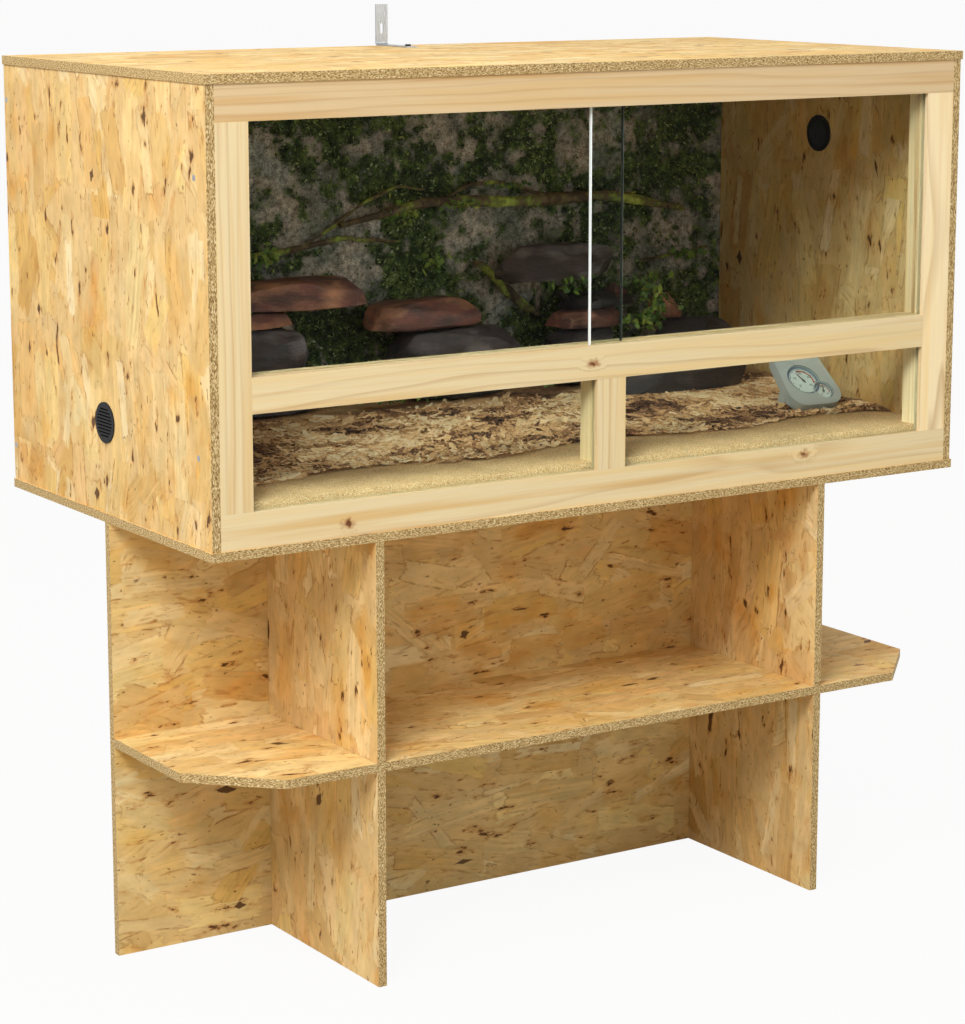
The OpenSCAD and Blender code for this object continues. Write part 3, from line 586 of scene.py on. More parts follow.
@dataclass(frozen=True)
class FloatGlass:
    """Clear float glass: a colourless mirror-smooth sheet with a faint green cast.

    Its IOR is matched to the object, whose panes hardly mirror the room. So is the lamplight that
    it lets in, since the object is dim inside behind its doors.
    """

    name: str = "float_glass"
    ior: float = 1.07
    lets_in: str = "#eef5f2"

    def build(self) -> bpy.types.Material:
        """Builds the material.

        Returns:
            The finished material.
        """
        surface = Surface(self.name, Roughness=0.0, IOR=self.ior, Transmission_Weight=1.0,
                          Base_Color=linear("#f2f8f5"))
        shadow = surface.add("LightPath", output="Is Shadow Ray")
        return surface.mixed(shadow, surface.add("BsdfTransparent", {"Color": linear(self.lets_in)}))


@dataclass(frozen=True)
class GroundGlassEdge:
    """Ground edge of float glass: frosted, pale green-white, slightly uneven from the wheel.

    Seen from within the sheet it is stained dark, a painted shade, because no light comes out of the sheet
    that way.
    """

    name: str = "ground_glass_edge"

    def build(self) -> bpy.types.Material:
        """Builds the material.

        Returns:
            The finished material.
        """
        surface = Surface(self.name, Roughness=0.42)
        scratches = surface.mottle(surface.place, (0.5, 3.0, 0.5), 2.0)
        colour = surface.add("ValToRGB", {0: scratches}, stops=((0.3, "#e6eeea"), (0.7, "#fbfdfc")))
        # Painted shade: faces seen from within the sheet take a dark stain
        inner = surface.add("NewGeometry", output="Backfacing")
        return surface.painted(surface.stain(colour, "#20261f", inner, 0.0, 1.0))


@dataclass(frozen=True)
class MouldedPlastic:
    """Injection-moulded ABS with a fine spark-eroded grain: even colour, soft wide highlight."""

    name: str
    code: str
    roughness: float = 0.45
    grain_mm: float = 0.8

    def build(self) -> bpy.types.Material:
        """Builds the material, its real grain of 0.1 mm drawn coarser, so that it shows.

        Returns:
            The finished material.
        """
        surface = Surface(self.name, Roughness=self.roughness, IOR=1.53)
        cloud = surface.mottle(surface.place, (0.03,) * 3, 2.0)
        surface.relief(surface.mottle(surface.place, (1 / self.grain_mm,) * 3, 1.0), 0.04, 0.5)
        return surface.painted(surface.shade(linear(self.code), cloud, 0.92, 1.05))


@dataclass(frozen=True)
class PlatedSteel:
    """Zinc-plated or black-passivated steel, pressed or turned: metallic with faint draw lines."""

    name: str
    codes: tuple[str, str]
    roughness: float = 0.34

    def build(self) -> bpy.types.Material:
        """Builds the material.

        Returns:
            The finished material.
        """
        surface = Surface(self.name, Roughness=self.roughness, Metallic=1.0)
        lines = surface.mottle(surface.place, (0.9, 0.9, 0.06), 3.0)
        surface.relief(lines, 0.03, 0.4)
        stops = (0.3, self.codes[0]), (0.7, self.codes[1])
        return surface.painted(surface.add("ValToRGB", {0: lines}, stops=stops))


@dataclass(frozen=True)
class MossyRock:
    """Carved and stained backdrop: weathered pinkish-grey rock under dark moss and pale lichen.

    The piece's own moss attribute says where the moss has closed over the rock.
    """

    name: str = "mossy_rock"

    def build(self) -> bpy.types.Material:
        """Builds the material.

        Returns:
            The finished material.
        """
        surface = Surface(self.name, Roughness=0.85, Specular_IOR_Level=0.25)
        add, place = surface.add, surface.place
        fine = surface.mottle(place, (0.13,) * 3, 5.0)
        rock = add("ValToRGB", {0: surface.mottle(place, (0.012,) * 3, 3.0)}, stops=(
            (0.3, "#74756a"), (0.45, "#948f84"), (0.55, "#bfae9f"), (0.7, "#a3a59c")))
        # The rock is darker where the relief's noise is low and lighter where it is high
        rock = surface.shade(rock, fine, 0.4, 1.5)
        moss = add("ValToRGB", {0: surface.mottle(place, (0.07,) * 3, 4.0)}, stops=(
            (0.3, "#1c2613"), (0.45, "#384624"), (0.56, "#566835"), (0.68, "#7e8d4f"), (0.8, "#a3ae78")))
        cover = add("Attribute", output="Fac", attribute_name="moss")
        ragged = add("Math", {0: fine, 1: cover}, operation="ADD")
        grit = add("MapRange", {0: surface.mottle(place, (0.4,) * 3, 2.0), 1: 0.3, 2: 0.7, 3: -0.2, 4: 0.2})
        ragged = add("Math", {0: ragged, 1: grit}, operation="ADD")
        share = add("MapRange", {0: ragged, 1: 0.84, 2: 1.1, 3: 0.0, 4: 1.0})
        colour = add("Mix", {0: share, 6: rock, 7: moss}, 2, data_type="RGBA")
        colour = surface.shade(colour, grit, 0.55, 1.45, -0.2, 0.2)
        # Lichen in specks of 5 to 10 mm
        colour = surface.stain(colour, "#b0b5a4", surface.mottle(place, (0.2,) * 3, 3.0), 0.6, 0.68, 0.5)
        surface.relief(fine, 2.2, 0.8)
        return surface.painted(colour)


@dataclass(frozen=True)
class TintedMatter:
    """Matter in many small bits, each with its own tone: bark chips, crumbs, moss or leaves.

    The piece's tint attribute picks the tone between the stops, and a little noise breaks it up.
    """

    name: str
    stops: Stops
    grain_per_mm: float
    contrast: float
    roughness: float = 0.8

    def build(self) -> bpy.types.Material:
        """Builds the material.

        Returns:
            The finished material.
        """
        surface = Surface(self.name, Roughness=self.roughness)
        tint = surface.add("Attribute", output="Fac", attribute_name="tint")
        grain = surface.mottle(surface.place, (self.grain_per_mm,) * 3, 3.0)
        swing = surface.add("MapRange", {0: grain, 1: 0.25, 2: 0.75, 3: -self.contrast, 4: self.contrast})
        tone = surface.add("Math", {0: tint, 1: swing}, operation="ADD")
        surface.relief(grain, 0.8, 0.5)
        return surface.painted(surface.add("ValToRGB", {0: tone}, stops=self.stops))


# Chopped pine bark, dry and dull: from dark outer bark to pale wood
BARK_MULCH = TintedMatter("bark_mulch", (
    (0.0, "#37231a"), (0.2, "#6a4636"), (0.38, "#a37653"), (0.56, "#d8a874"), (0.78, "#f1ca97"),
    (1.0, "#fbe4bd")), 0.3, 0.16)
# Bark of a dead branch, dull: brown where bare and yellow-green where moss has grown over it
MOSSY_BARK = TintedMatter("mossy_bark", (
    (0.15, "#52412e"), (0.36, "#7b6547"), (0.46, "#716e3a"), (0.62, "#95a146"),
    (0.82, "#c5cf5e")), 0.12, 0.25)
# Cushion moss, soft and dull: dark deep down and pale at the tips
MOSS_LEAFLETS = TintedMatter("moss_leaflets", (
    (0.0, "#182012"), (0.3, "#303c1e"), (0.5, "#50612f"), (0.7, "#7a8a44"), (0.85, "#a3ad61"),
    (1.0, "#c6ca99")), 0.2, 0.08, 0.7)
# Leaves of a small creeper, smooth enough for a slight sheen: the lighter, the younger
LEAF_GREEN = TintedMatter("leaf_green", (
    (0.0, "#202f15"), (0.3, "#374f1f"), (0.55, "#54752c"), (0.8, "#839d3e"),
    (1.0, "#b6b955")), 0.15, 0.08, 0.5)


@dataclass(frozen=True)
class FineSand:
    """Loose quartz sand: pale yellow grains, dull, with darker and whiter grains strewn in."""

    name: str = "fine_sand"
    grain_mm: float = 1.2

    def build(self) -> bpy.types.Material:
        """Builds the material, its grains of 0.4 mm drawn 1.2 mm wide, so that they show.

        Returns:
            The finished material.
        """
        surface = Surface(self.name, Roughness=0.9)
        add, place = surface.add, surface.place
        grid = add("VectorMath", {0: place, 1: (self.grain_mm,) * 3}, operation="SNAP")
        grains = add("TexWhiteNoise", {"Vector": grid}, noise_dimensions="3D")
        colour = add("ValToRGB", {0: grains}, stops=(
            (0.0, "#a07a4a"), (0.12, "#cca46d"), (0.5, "#dbb27c"), (0.85, "#e6c28e"), (1.0, "#f2dab6")))
        surface.relief(surface.mottle(place, (0.35,) * 3, 3.0), 1.4, 0.7)
        return surface.painted(surface.shade(colour, surface.mottle(place, (0.02,) * 3, 3.0), 0.88, 1.08))


class SlateKind(Enum):
    """A kind of slate, as its main, second and streak colours."""

    RED = ("#8f5a4f", "#523d3c", "#cb9070")
    GREY = ("#524749", "#383031", "#8f8488")
    DARK = ("#372f2e", "#262020", "#625858")


@dataclass(frozen=True)
class Slate:
    """Split slate, waterworn: thin beds show as streaks along the edge, with rusty or pale veins."""

    kind: SlateKind

    def build(self) -> bpy.types.Material:
        """Builds the material.

        Returns:
            The finished material.
        """
        surface = Surface("slate_" + self.kind.name.lower())
        main, second, streak = self.kind.value
        beds = surface.mottle(surface.place, (0.016, 0.016, 0.07), 4.0)
        patches = surface.mottle(surface.place, (0.026, 0.026, 0.05), 4.0)
        veins = surface.mottle(surface.place, (0.013, 0.022, 0.03), 5.0)
        colour = surface.stain(linear(main), second, beds, 0.38, 0.66, 0.9)
        colour = surface.stain(colour, streak, veins, 0.52, 0.68, 0.8)
        colour = surface.shade(colour, patches, 0.6, 1.4, 0.32, 0.68)
        surface.relief(surface.mottle(surface.place, (0.12, 0.12, 0.4), 4.0), 2.4, 0.75)
        gloss = surface.add("MapRange", {0: patches, 1: 0.35, 2: 0.65, 3: 0.36, 4: 0.66})
        surface.feed("Roughness", gloss)
        return surface.painted(colour)


@dataclass(frozen=True)
class PrintedCard:
    """Flat printed ink or card of a dial: even, satin, with a trace of paper fibre."""

    name: str
    code: str

    def build(self) -> bpy.types.Material:
        """Builds the material.

        Returns:
            The finished material.
        """
        surface = Surface(self.name, Roughness=0.45)
        fibre = surface.mottle(surface.place, (0.7,) * 3, 2.0)
        return surface.painted(surface.shade(linear(self.code), fibre, 0.95, 1.03))


# Shapes worked out with numpy


def lattice(cells: np.ndarray, seed: int) -> np.ndarray:
    """Random values from 0 to 1 at whole-number points, the same each run.

    Args:
        cells: whole numbers, any shape by 3.
        seed: picks the set of values.

    Returns:
        One value a point, from a product hash of its three numbers.
    """
    mixed = np.uint32((seed * 2654435761) % 2**32)
    for way, prime in enumerate((73856093, 19349663, 83492791)):
        mixed = mixed ^ (cells[..., way].astype(np.uint32) * np.uint32(prime))
    mixed = (mixed ^ (mixed >> np.uint32(13))) * np.uint32(1274126177)
    return ((mixed ^ (mixed >> np.uint32(16))) & np.uint32(0xFFFF)) / 65535.0


def soft_noise(points: np.ndarray, period: float, seed: int, octaves: int) -> np.ndarray:
    """Smooth noise from -1 to 1.

    The lattice values at the eight corners round a point are blended with eased shares. Each
    further octave has half the period and half the height.

    Args:
        points: places in metres, any shape by 3.
        period: size of a lattice cell, in metres.
        seed: picks the noise.
        octaves: how many are added up.

    Returns:
        One value a point.
    """
    total = np.zeros(points.shape[:-1])
    weights = 0.5 ** np.arange(octaves)
    for octave, weight in enumerate(weights):
        scaled = points / period * 2**octave
        base = np.floor(scaled).astype(np.int64)
        part = scaled - base
        part = part * part * (3 - 2 * part)
        value = np.zeros(total.shape)
        for corner in np.ndindex(2, 2, 2):
            step = np.array(corner[::-1])
            value += np.where(step, part, 1 - part).prod(axis=-1) * lattice(base + step, seed + octave)
        total += weight * (2 * value - 1)
    return total / weights.sum()


def unit(vectors: np.ndarray) -> np.ndarray:
    """Returns vectors, any shape by 3, at a length of 1."""
    return vectors / np.linalg.norm(vectors, axis=-1, keepdims=True)


def full_turn(count: int) -> np.ndarray:
    """Returns even angles round a circle."""
    return np.linspace(0, 2 * np.pi, count, endpoint=False)


def resample(values: np.ndarray, known: np.ndarray, wanted: np.ndarray, way: int) -> np.ndarray:
    """Blends an array between its values along one way.

    Args:
        values: the array.
        known: places of its values along that way.
        wanted: places of the new values.
        way: number of the array's axis.

    Returns:
        The array at the new places.
    """
    return np.apply_along_axis(lambda line: np.interp(wanted, known, line), way, values)


def smooth_path(spine: np.ndarray, steps: int, passes: int) -> np.ndarray:
    """Points at even steps along a coarse path, whose corners a mean of neighbours wears off.

    Args:
        spine: the coarse path, n by 3.
        steps: number of points.
        passes: how often a point takes half of itself and a quarter of each neighbour.

    Returns:
        The points, steps by 3.
    """
    path = resample(spine, np.linspace(0, 1, len(spine)), np.linspace(0, 1, steps), 0)
    for _ in range(passes):
        path[1:-1] = (path[:-2] + 2 * path[1:-1] + path[2:]) / 4
    return path


def grid_quads(rows: int, cols: int, wrap: bool = False) -> list:
    """Quads of a grid of points that run row by row.

    Args:
        rows: number of rows.
        cols: points in a row.
        wrap: whether the last column joins the first.

    Returns:
        Four point numbers for each quad.
    """
    row = np.arange(rows - 1)[:, None] * cols
    col = np.arange(cols if wrap else cols - 1)[None, :]
    after = (col + 1) % cols
    corners = [row + col, row + after, row + cols + after, row + cols + col]
    return np.stack(corners, axis=-1).reshape(-1, 4).tolist()


def slab_under(sheet: np.ndarray, foot: np.ndarray, way: int, level: float) -> Shape:
    """Closes a sheet to a slab with a flat back.

    Walls run from the sheet's rim to the foot's rim carried onto the back plane, and a fan from
    the back's middle closes it.

    Args:
        sheet: rows by cols by 3 points.
        foot: the same sheet or another of its size, whose rim is the back's.
        way: number of the axis that the back plane is square to.
        level: the back plane's place on that axis.

    Returns:
        The points and the faces.
    """
    rows, cols = sheet.shape[:2]
    number = np.arange(rows * cols).reshape(rows, cols)
    rim = np.concatenate([number[0, :-1], number[:-1, -1], number[-1, :0:-1], number[:0:-1, 0]])
    rim_points = foot.reshape(-1, 3)[rim]
    rim_points[:, way] = level
    back = rows * cols + np.arange(len(rim))
    hub = np.full(len(rim), back[-1] + 1)
    walls = np.stack([rim, back, np.roll(back, -1), np.roll(rim, -1)], axis=-1)
    fan = np.stack([back, hub, np.roll(back, -1)], axis=-1)
    points = np.concatenate([sheet.reshape(-1, 3), rim_points, rim_points.mean(axis=0)[None]])
    return points, grid_quads(rows, cols) + walls.tolist() + fan.tolist()


def capped_rings(rings: np.ndarray, first: np.ndarray, last: np.ndarray) -> Shape:
    """Closes a stack of rings with a pole at each end.

    Args:
        rings: rows by cols by 3 points, each row a closed ring.
        first: the pole before the first ring.
        last: the pole after the last ring.

    Returns:
        The points and the faces.
    """
    rows, cols = rings.shape[:2]
    step, top, pole = np.arange(cols), (rows - 1) * cols, np.full(cols, rows * cols)
    after = (step + 1) % cols
    start = np.stack([pole, after, step], axis=-1)
    end = np.stack([pole + 1, top + step, top + after], axis=-1)
    points = np.concatenate([rings.reshape(-1, 3), first[None], last[None]])
    return points, grid_quads(rows, cols, wrap=True) + start.tolist() + end.tolist()


def square_rings(rings: np.ndarray) -> Shape:
    """Closes a stack of four-cornered rings with a quad at each end.

    Args:
        rings: rows by 4 by 3 points.

    Returns:
        The points and the faces.
    """
    last = 4 * len(rings) - 4
    ends = [[3, 2, 1, 0], [last, last + 1, last + 2, last + 3]]
    return rings.reshape(-1, 3), grid_quads(len(rings), 4, wrap=True) + ends


def swept_tube(path: np.ndarray, radius: np.ndarray) -> Shape:
    """A closed tube along a path, each ring square to it.

    Args:
        path: centre points, n by 3.
        radius: radius at each ring and side, n by sides.

    Returns:
        The points and the faces.
    """
    tangent = unit(np.gradient(path, axis=0))
    steep = np.abs(tangent[:, 2:]) > 0.9
    side = unit(np.cross(tangent, np.where(steep, [[1.0, 0, 0]], [[0, 0, 1.0]])))
    turn = full_turn(radius.shape[1])[None, :, None]
    spokes = np.cos(turn) * side[:, None] + np.sin(turn) * np.cross(side, tangent)[:, None]
    return capped_rings(path[:, None] + radius[..., None] * spokes, path[0], path[-1])


def joined(shapes: list[Shape]) -> Shape:
    """Puts several shapes into one.

    Args:
        shapes: the points and the faces of each.

    Returns:
        All points in a row, and all faces with their point numbers shifted to match.
    """
    starts = np.cumsum([0] + [len(points) for points, _ in shapes]).tolist()
    faces = [[i + start for i in face] for start, (_, part) in zip(starts, shapes) for face in part]
    return np.concatenate([points for points, _ in shapes]), faces


@dataclass(frozen=True)
class Bit:
    """A small closed shape that is strewn many times, as unit points and faces."""

    points: np.ndarray
    faces: list

    @staticmethod
    def chip() -> Bit:
        """A flake: three stations of a flat rectangle, the end ones narrower.

        Returns:
            The flake, a unit long.
        """
        loop = ((-1, -1), (1, -1), (1, 1), (-1, 1))
        stations = ((-0.5, 0.31), (0.02, 0.525), (0.5, 0.26))
        rings = [[(x, side * half, level / 2) for side, level in loop] for x, half in stations]
        return Bit(*square_rings(np.array(rings)))

    @staticmethod
    def spindle() -> Bit:
        """An octahedron.

        Returns:
            The octahedron, a unit from tip to tip.
        """
        ends = np.array([[-0.5, 0, 0], [0.5, 0, 0], [0, -0.5, 0], [0, 0.5, 0], [0, 0, -0.5], [0, 0, 0.5]])
        faces = [[1, 3, 5], [3, 0, 5], [0, 2, 5], [2, 1, 5], [3, 1, 4], [0, 3, 4], [2, 0, 4], [1, 2, 4]]
        return Bit(ends, faces)

    @staticmethod
    def leaf() -> Bit:
        """A pointed leaf: five stations of a folded lens between two tips.

        Returns:
            The leaf, a unit long and wide.
        """
        stations = zip(np.linspace(-0.38, 0.38, 5), (0.31, 0.49, 0.5, 0.375, 0.18))
        rings = [[[x, -w, 0.18 * w], [x, 0, -0.03], [x, w, 0.18 * w], [x, 0, 0.05]] for x, w in stations]
        return Bit(*capped_rings(np.array(rings), np.array([-0.5, 0, 0]), np.array([0.5, 0, 0])))

    def strew(self, centres: np.ndarray, frames: np.ndarray, sizes: tuple,
              curl: np.ndarray | float = 0.0) -> Shape:
        """Copies the shape to many places at once.

        Each copy is scaled, curled so that its height rises with the square of its length, turned
        by its frame and moved.

        Args:
            centres: n by 3 places.
            frames: n by 3 by 3, the shape's own axes as columns.
            sizes: three sets of n lengths along those axes.
            curl: n heights of the ends over the middle, as a share of the length.

        Returns:
            The points and the faces of all copies.
        """
        local = self.points[None] * np.stack(sizes, axis=-1)[:, None]
        local[..., 2] += (curl * sizes[0])[:, None] * 4 * self.points[None, :, 0] ** 2
        points = centres[:, None] + np.einsum("nij,nkj->nki", frames, local)
        starts = range(0, points.shape[0] * len(self.points), len(self.points))
        return points.reshape(-1, 3), [[i + start for i in face] for start in starts for face in self.faces]


def random_frames(dice: np.random.Generator, count: int, up: Triple, tilt: float) -> np.ndarray:
    """Random frames whose third axis leans off a given direction.

    Args:
        dice: source of random numbers.
        count: how many.
        up: direction of the third axis before it leans.
        tilt: how far it leans at most, as a share of its length.

    Returns:
        n by 3 by 3 frames, axes as columns.
    """
    third = unit(up + dice.uniform(-tilt, tilt, (count, 3)))
    first = unit(np.cross(third, dice.normal(size=(count, 3))))
    return np.stack([first, np.cross(third, first), third], axis=-1)


# Pieces


def put_in(mesh: bpy.types.Mesh, material: bpy.types.Material, replaces: tuple[str, ...] = (),
           body: str = "root", smooth: bool = True) -> bpy.types.Object:
    """Puts a mesh into the scene as a piece that rides on a body.

    Args:
        mesh: the mesh, with the piece's name.
        material: its finish.
        replaces: CAD nodes that it stands for.
        body: the body that it rides on.
        smooth: whether its faces are shaded smooth.

    Returns:
        The new object.
    """
    mesh.polygons.foreach_set("use_smooth", [smooth] * len(mesh.polygons))
    mesh.materials.append(material)
    piece = bpy.data.objects.new(mesh.name, mesh)
    bpy.context.scene.collection.objects.link(piece)
    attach(piece, body)
    if replaces:
        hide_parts(*replaces)
    LOG.info("%s: %d points, %d faces, on %s", mesh.name, len(mesh.vertices), len(mesh.polygons), body)
    return piece


def add_piece(name: str, shape: Shape, material: bpy.types.Material, slot: str,
              replaces: tuple[str, ...] = (), body: str = "root", smooth: bool = True,
              **tints: np.ndarray) -> bpy.types.Object:
    """Makes a piece of points and faces.

    Args:
        name: the piece's name.
        shape: its points in the part's frame, and its faces.
        material: its finish.
        slot: the record's material slot; not used.
        replaces: CAD nodes that it stands for.
        body: the body that it rides on.
        smooth: whether its faces are shaded smooth.
        **tints: attributes for the finish to read, one number a point.

    Returns:
        The new object.
    """
    mesh = bpy.data.meshes.new(name)
    mesh.from_pydata(shape[0].tolist(), [], shape[1])
    shell = bmesh.new()
    shell.from_mesh(mesh)
    bmesh.ops.recalc_face_normals(shell, faces=shell.faces)
    shell.to_mesh(mesh)
    shell.free()
    for attribute, values in tints.items():
        mesh.attributes.new(attribute, "FLOAT", "POINT").data.foreach_set("value", values.astype(np.float32))
    return put_in(mesh, material, replaces, body, smooth)


@dataclass
class Assembly:
    """Some of the part's pieces, with its CAD nodes at hand."""

    nodes: dict

    def points(self, name: str) -> np.ndarray:
        """Separate points of a CAD node.

        Args:
            name: the node.

        Returns:
            n by 3 places, rounded to a hundredth of a millimetre.
        """
        vertices = self.nodes[name].data.vertices
        flat = np.empty(len(vertices) * 3, np.float32)
        vertices.foreach_get("co", flat)
        return np.unique(flat.reshape(-1, 3).astype(float).round(5), axis=0)

    def finish(self, material: bpy.types.Material, *names: str) -> None:
        """Puts a finish into every slot of some CAD nodes.

        Args:
            material: the finish.
            *names: the nodes.
        """
        for name in names:
            node = self.nodes[name]
            if not node.data.materials:
                node.data.materials.append(material)
            for slot in node.material_slots:
                slot.material = material
            LOG.info("%s: %s", name, material.name)

    def ease(self, name: str, width_mm: float, material: bpy.types.Material, slot: str) -> None:
        """Stands a merged copy with eased edges in a CAD node's place.

        Args:
            name: the node.
            width_mm: width of the eased edge.
            material: its finish.
            slot: the record's material slot; not used.
        """
        source = self.nodes[name].data
        mesh = bpy.data.meshes.new(name + "_eased")
        mesh.from_pydata([v.co[:] for v in source.vertices], [], [p.vertices[:] for p in source.polygons])
        shell = bmesh.new()
        shell.from_mesh(mesh)
        bmesh.ops.remove_doubles(shell, verts=shell.verts, dist=1e-6)
        bmesh.ops.dissolve_limit(shell, angle_limit=math.radians(1), verts=shell.verts, edges=shell.edges)
        shell.to_mesh(mesh)
        shell.free()
        bevel = put_in(mesh, material, (name,)).modifiers.new("eased_edges", "BEVEL")
        bevel.width = width_mm * MM
        bevel.segments = 2
        bevel.limit_method = "ANGLE"
        bevel.angle_limit = math.radians(40)
        bevel.harden_normals = True
        bevel.loop_slide = False


# Sub-assemblies


class Carcass(Assembly):
    """Boards of the cabinet and of the stand, all of strand board."""

    def dress(self) -> None:
        """Gives each board the strand pattern of its plane, with that plane's painted-light cast."""
        # Each plane's cast is painted light: its strands are tinted toward the hue that the plane shows in
        # its light and shade
        lying = StrandBoard("strand_board_lying", Axis.Y, Axis.X, Axis.Z, 0.45, (1.02, 1.05, 1.03))
        facing = StrandBoard("strand_board_facing", Axis.Z, Axis.X, Axis.Y, cast=(1.0, 1.05, 1.07))
        sideways = StrandBoard("strand_board_sideways", Axis.Y, Axis.Z, Axis.X, cast=(1.0, 1.01, 1.05))
        self.finish(lying.build(), "top_panel", "bottom_panel", "shelf")
        self.finish(facing.build(), "back_panel", "centre_panel")
        self.finish(sideways.build(), "left_side_panel", "right_side_panel", "left_divider", "right_divider")


@dataclass
class FrontFrame(Assembly):
    """Pine battens round the glass, with eased edges, and the dowels of the whole part.

    The heart of each batten is a place off its section, in millimetres, across its length.
    """

    ease_mm: float = 1.2

    def dress(self) -> None:
        """Stands an eased pine copy in each batten's place."""
        rail, stile = Axis.X, Axis.Z
        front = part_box("middle_rail")[0].y / MM
        low_knots = (-405, front, 624), (330, front, 641)
        for pine in (
            PlanedPine("pine_top_rail", rail, (-330.0, 1095.0), ring_mm=11, tone="#d8bb90"),
            PlanedPine("pine_middle_rail", rail, (-352.0, 774.0), ((-30, front, 797),)),
            PlanedPine("pine_bottom_rail", rail, (-322.0, 668.0), low_knots, 10),
            PlanedPine("pine_left_stile", stile, (-604.0, -338.0)),
            # The right stile's paler tone is painted light, for the light that falls more on the frame's
            # right side
            PlanedPine("pine_right_stile", stile, (596.0, -330.0), tone="#fae2b6"),
            PlanedPine("pine_mullion", stile, (-38.0, -335.0)),
        ):
            self.ease(pine.name.removeprefix("pine_"), self.ease_mm, pine.build(), "pine")
        self.finish(PlanedPine("pine_dowels", stile, (40.0, -340.0)).build(), "board_dowels", "frame_dowels")


@dataclass
class Glazing(Assembly):
    """Sliding doors and fixed panes: a clear sheet whose edges and arrises are ground."""

    arris_mm: float = 0.8

    def dress(self) -> None:
        """Stands a sheet with ground edges in each pane's place."""
        doors = FloatGlass("float_glass_doors", lets_in="#c6cac3").build()
        fixed = FloatGlass("float_glass_fixed").build()
        ground = GroundGlassEdge().build()
        for side in ("left", "right"):
            self._pane(f"{side}_door", f"{side}_door", doors, ground)
        for side in ("left", "right"):
            self._pane(f"{side}_fixed_pane", "root", fixed, ground)

    def _pane(self, node: str, body: str, clear: bpy.types.Material, ground: bpy.types.Material) -> None:
        """Builds one pane as four rectangular rings, front to back, and its two faces.

        Args:
            node: the CAD pane.
            body: the body that it rides on.
            clear: finish of the two faces.
            ground: finish of the edges and arrises.
        """
        low, high = (np.array(corner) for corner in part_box(node))
        inset = self.arris_mm * MM
        corners = np.array([[0, 0], [1, 0], [1, 1], [0, 1]])
        rings = []
        for y, gap in ((low[1], inset), (low[1] + inset, 0), (high[1] - inset, 0), (high[1], inset)):
            x = low[0] + gap + corners[:, 0] * (high[0] - low[0] - 2 * gap)
            z = low[2] + gap + corners[:, 1] * (high[2] - low[2] - 2 * gap)
            rings.append(np.stack([x, np.full(4, y), z], axis=-1))
        shape = square_rings(np.array(rings))
        pane = add_piece(node + "_pane", shape, clear, "float_glass", (node,), body, smooth=False).data
        pane.materials.append(ground)
        sides = [int(abs(face.normal.y) < 0.99) for face in pane.polygons]
        pane.polygons.foreach_set("material_index", sides)


class Fittings(Assembly):
    """Vents, screws and the wall bracket: small parts that keep their CAD solids."""

    def dress(self) -> None:
        """Gives each fitting its finish."""
        black = MouldedPlastic("moulded_black_abs", "#040405", 0.85).build()
        for side in ("left", "right"):
            self.finish(black, f"{side}_vent_outer", f"{side}_vent_inner")
        zinc = PlatedSteel("bright_zinc_plate", ("#8d9194", "#bfc3c5")).build()
        self.finish(zinc, "wall_bracket", "side_screws")
        self.finish(PlatedSteel("black_passivate", ("#1c1c1f", "#303034")).build(), "bracket_screw")


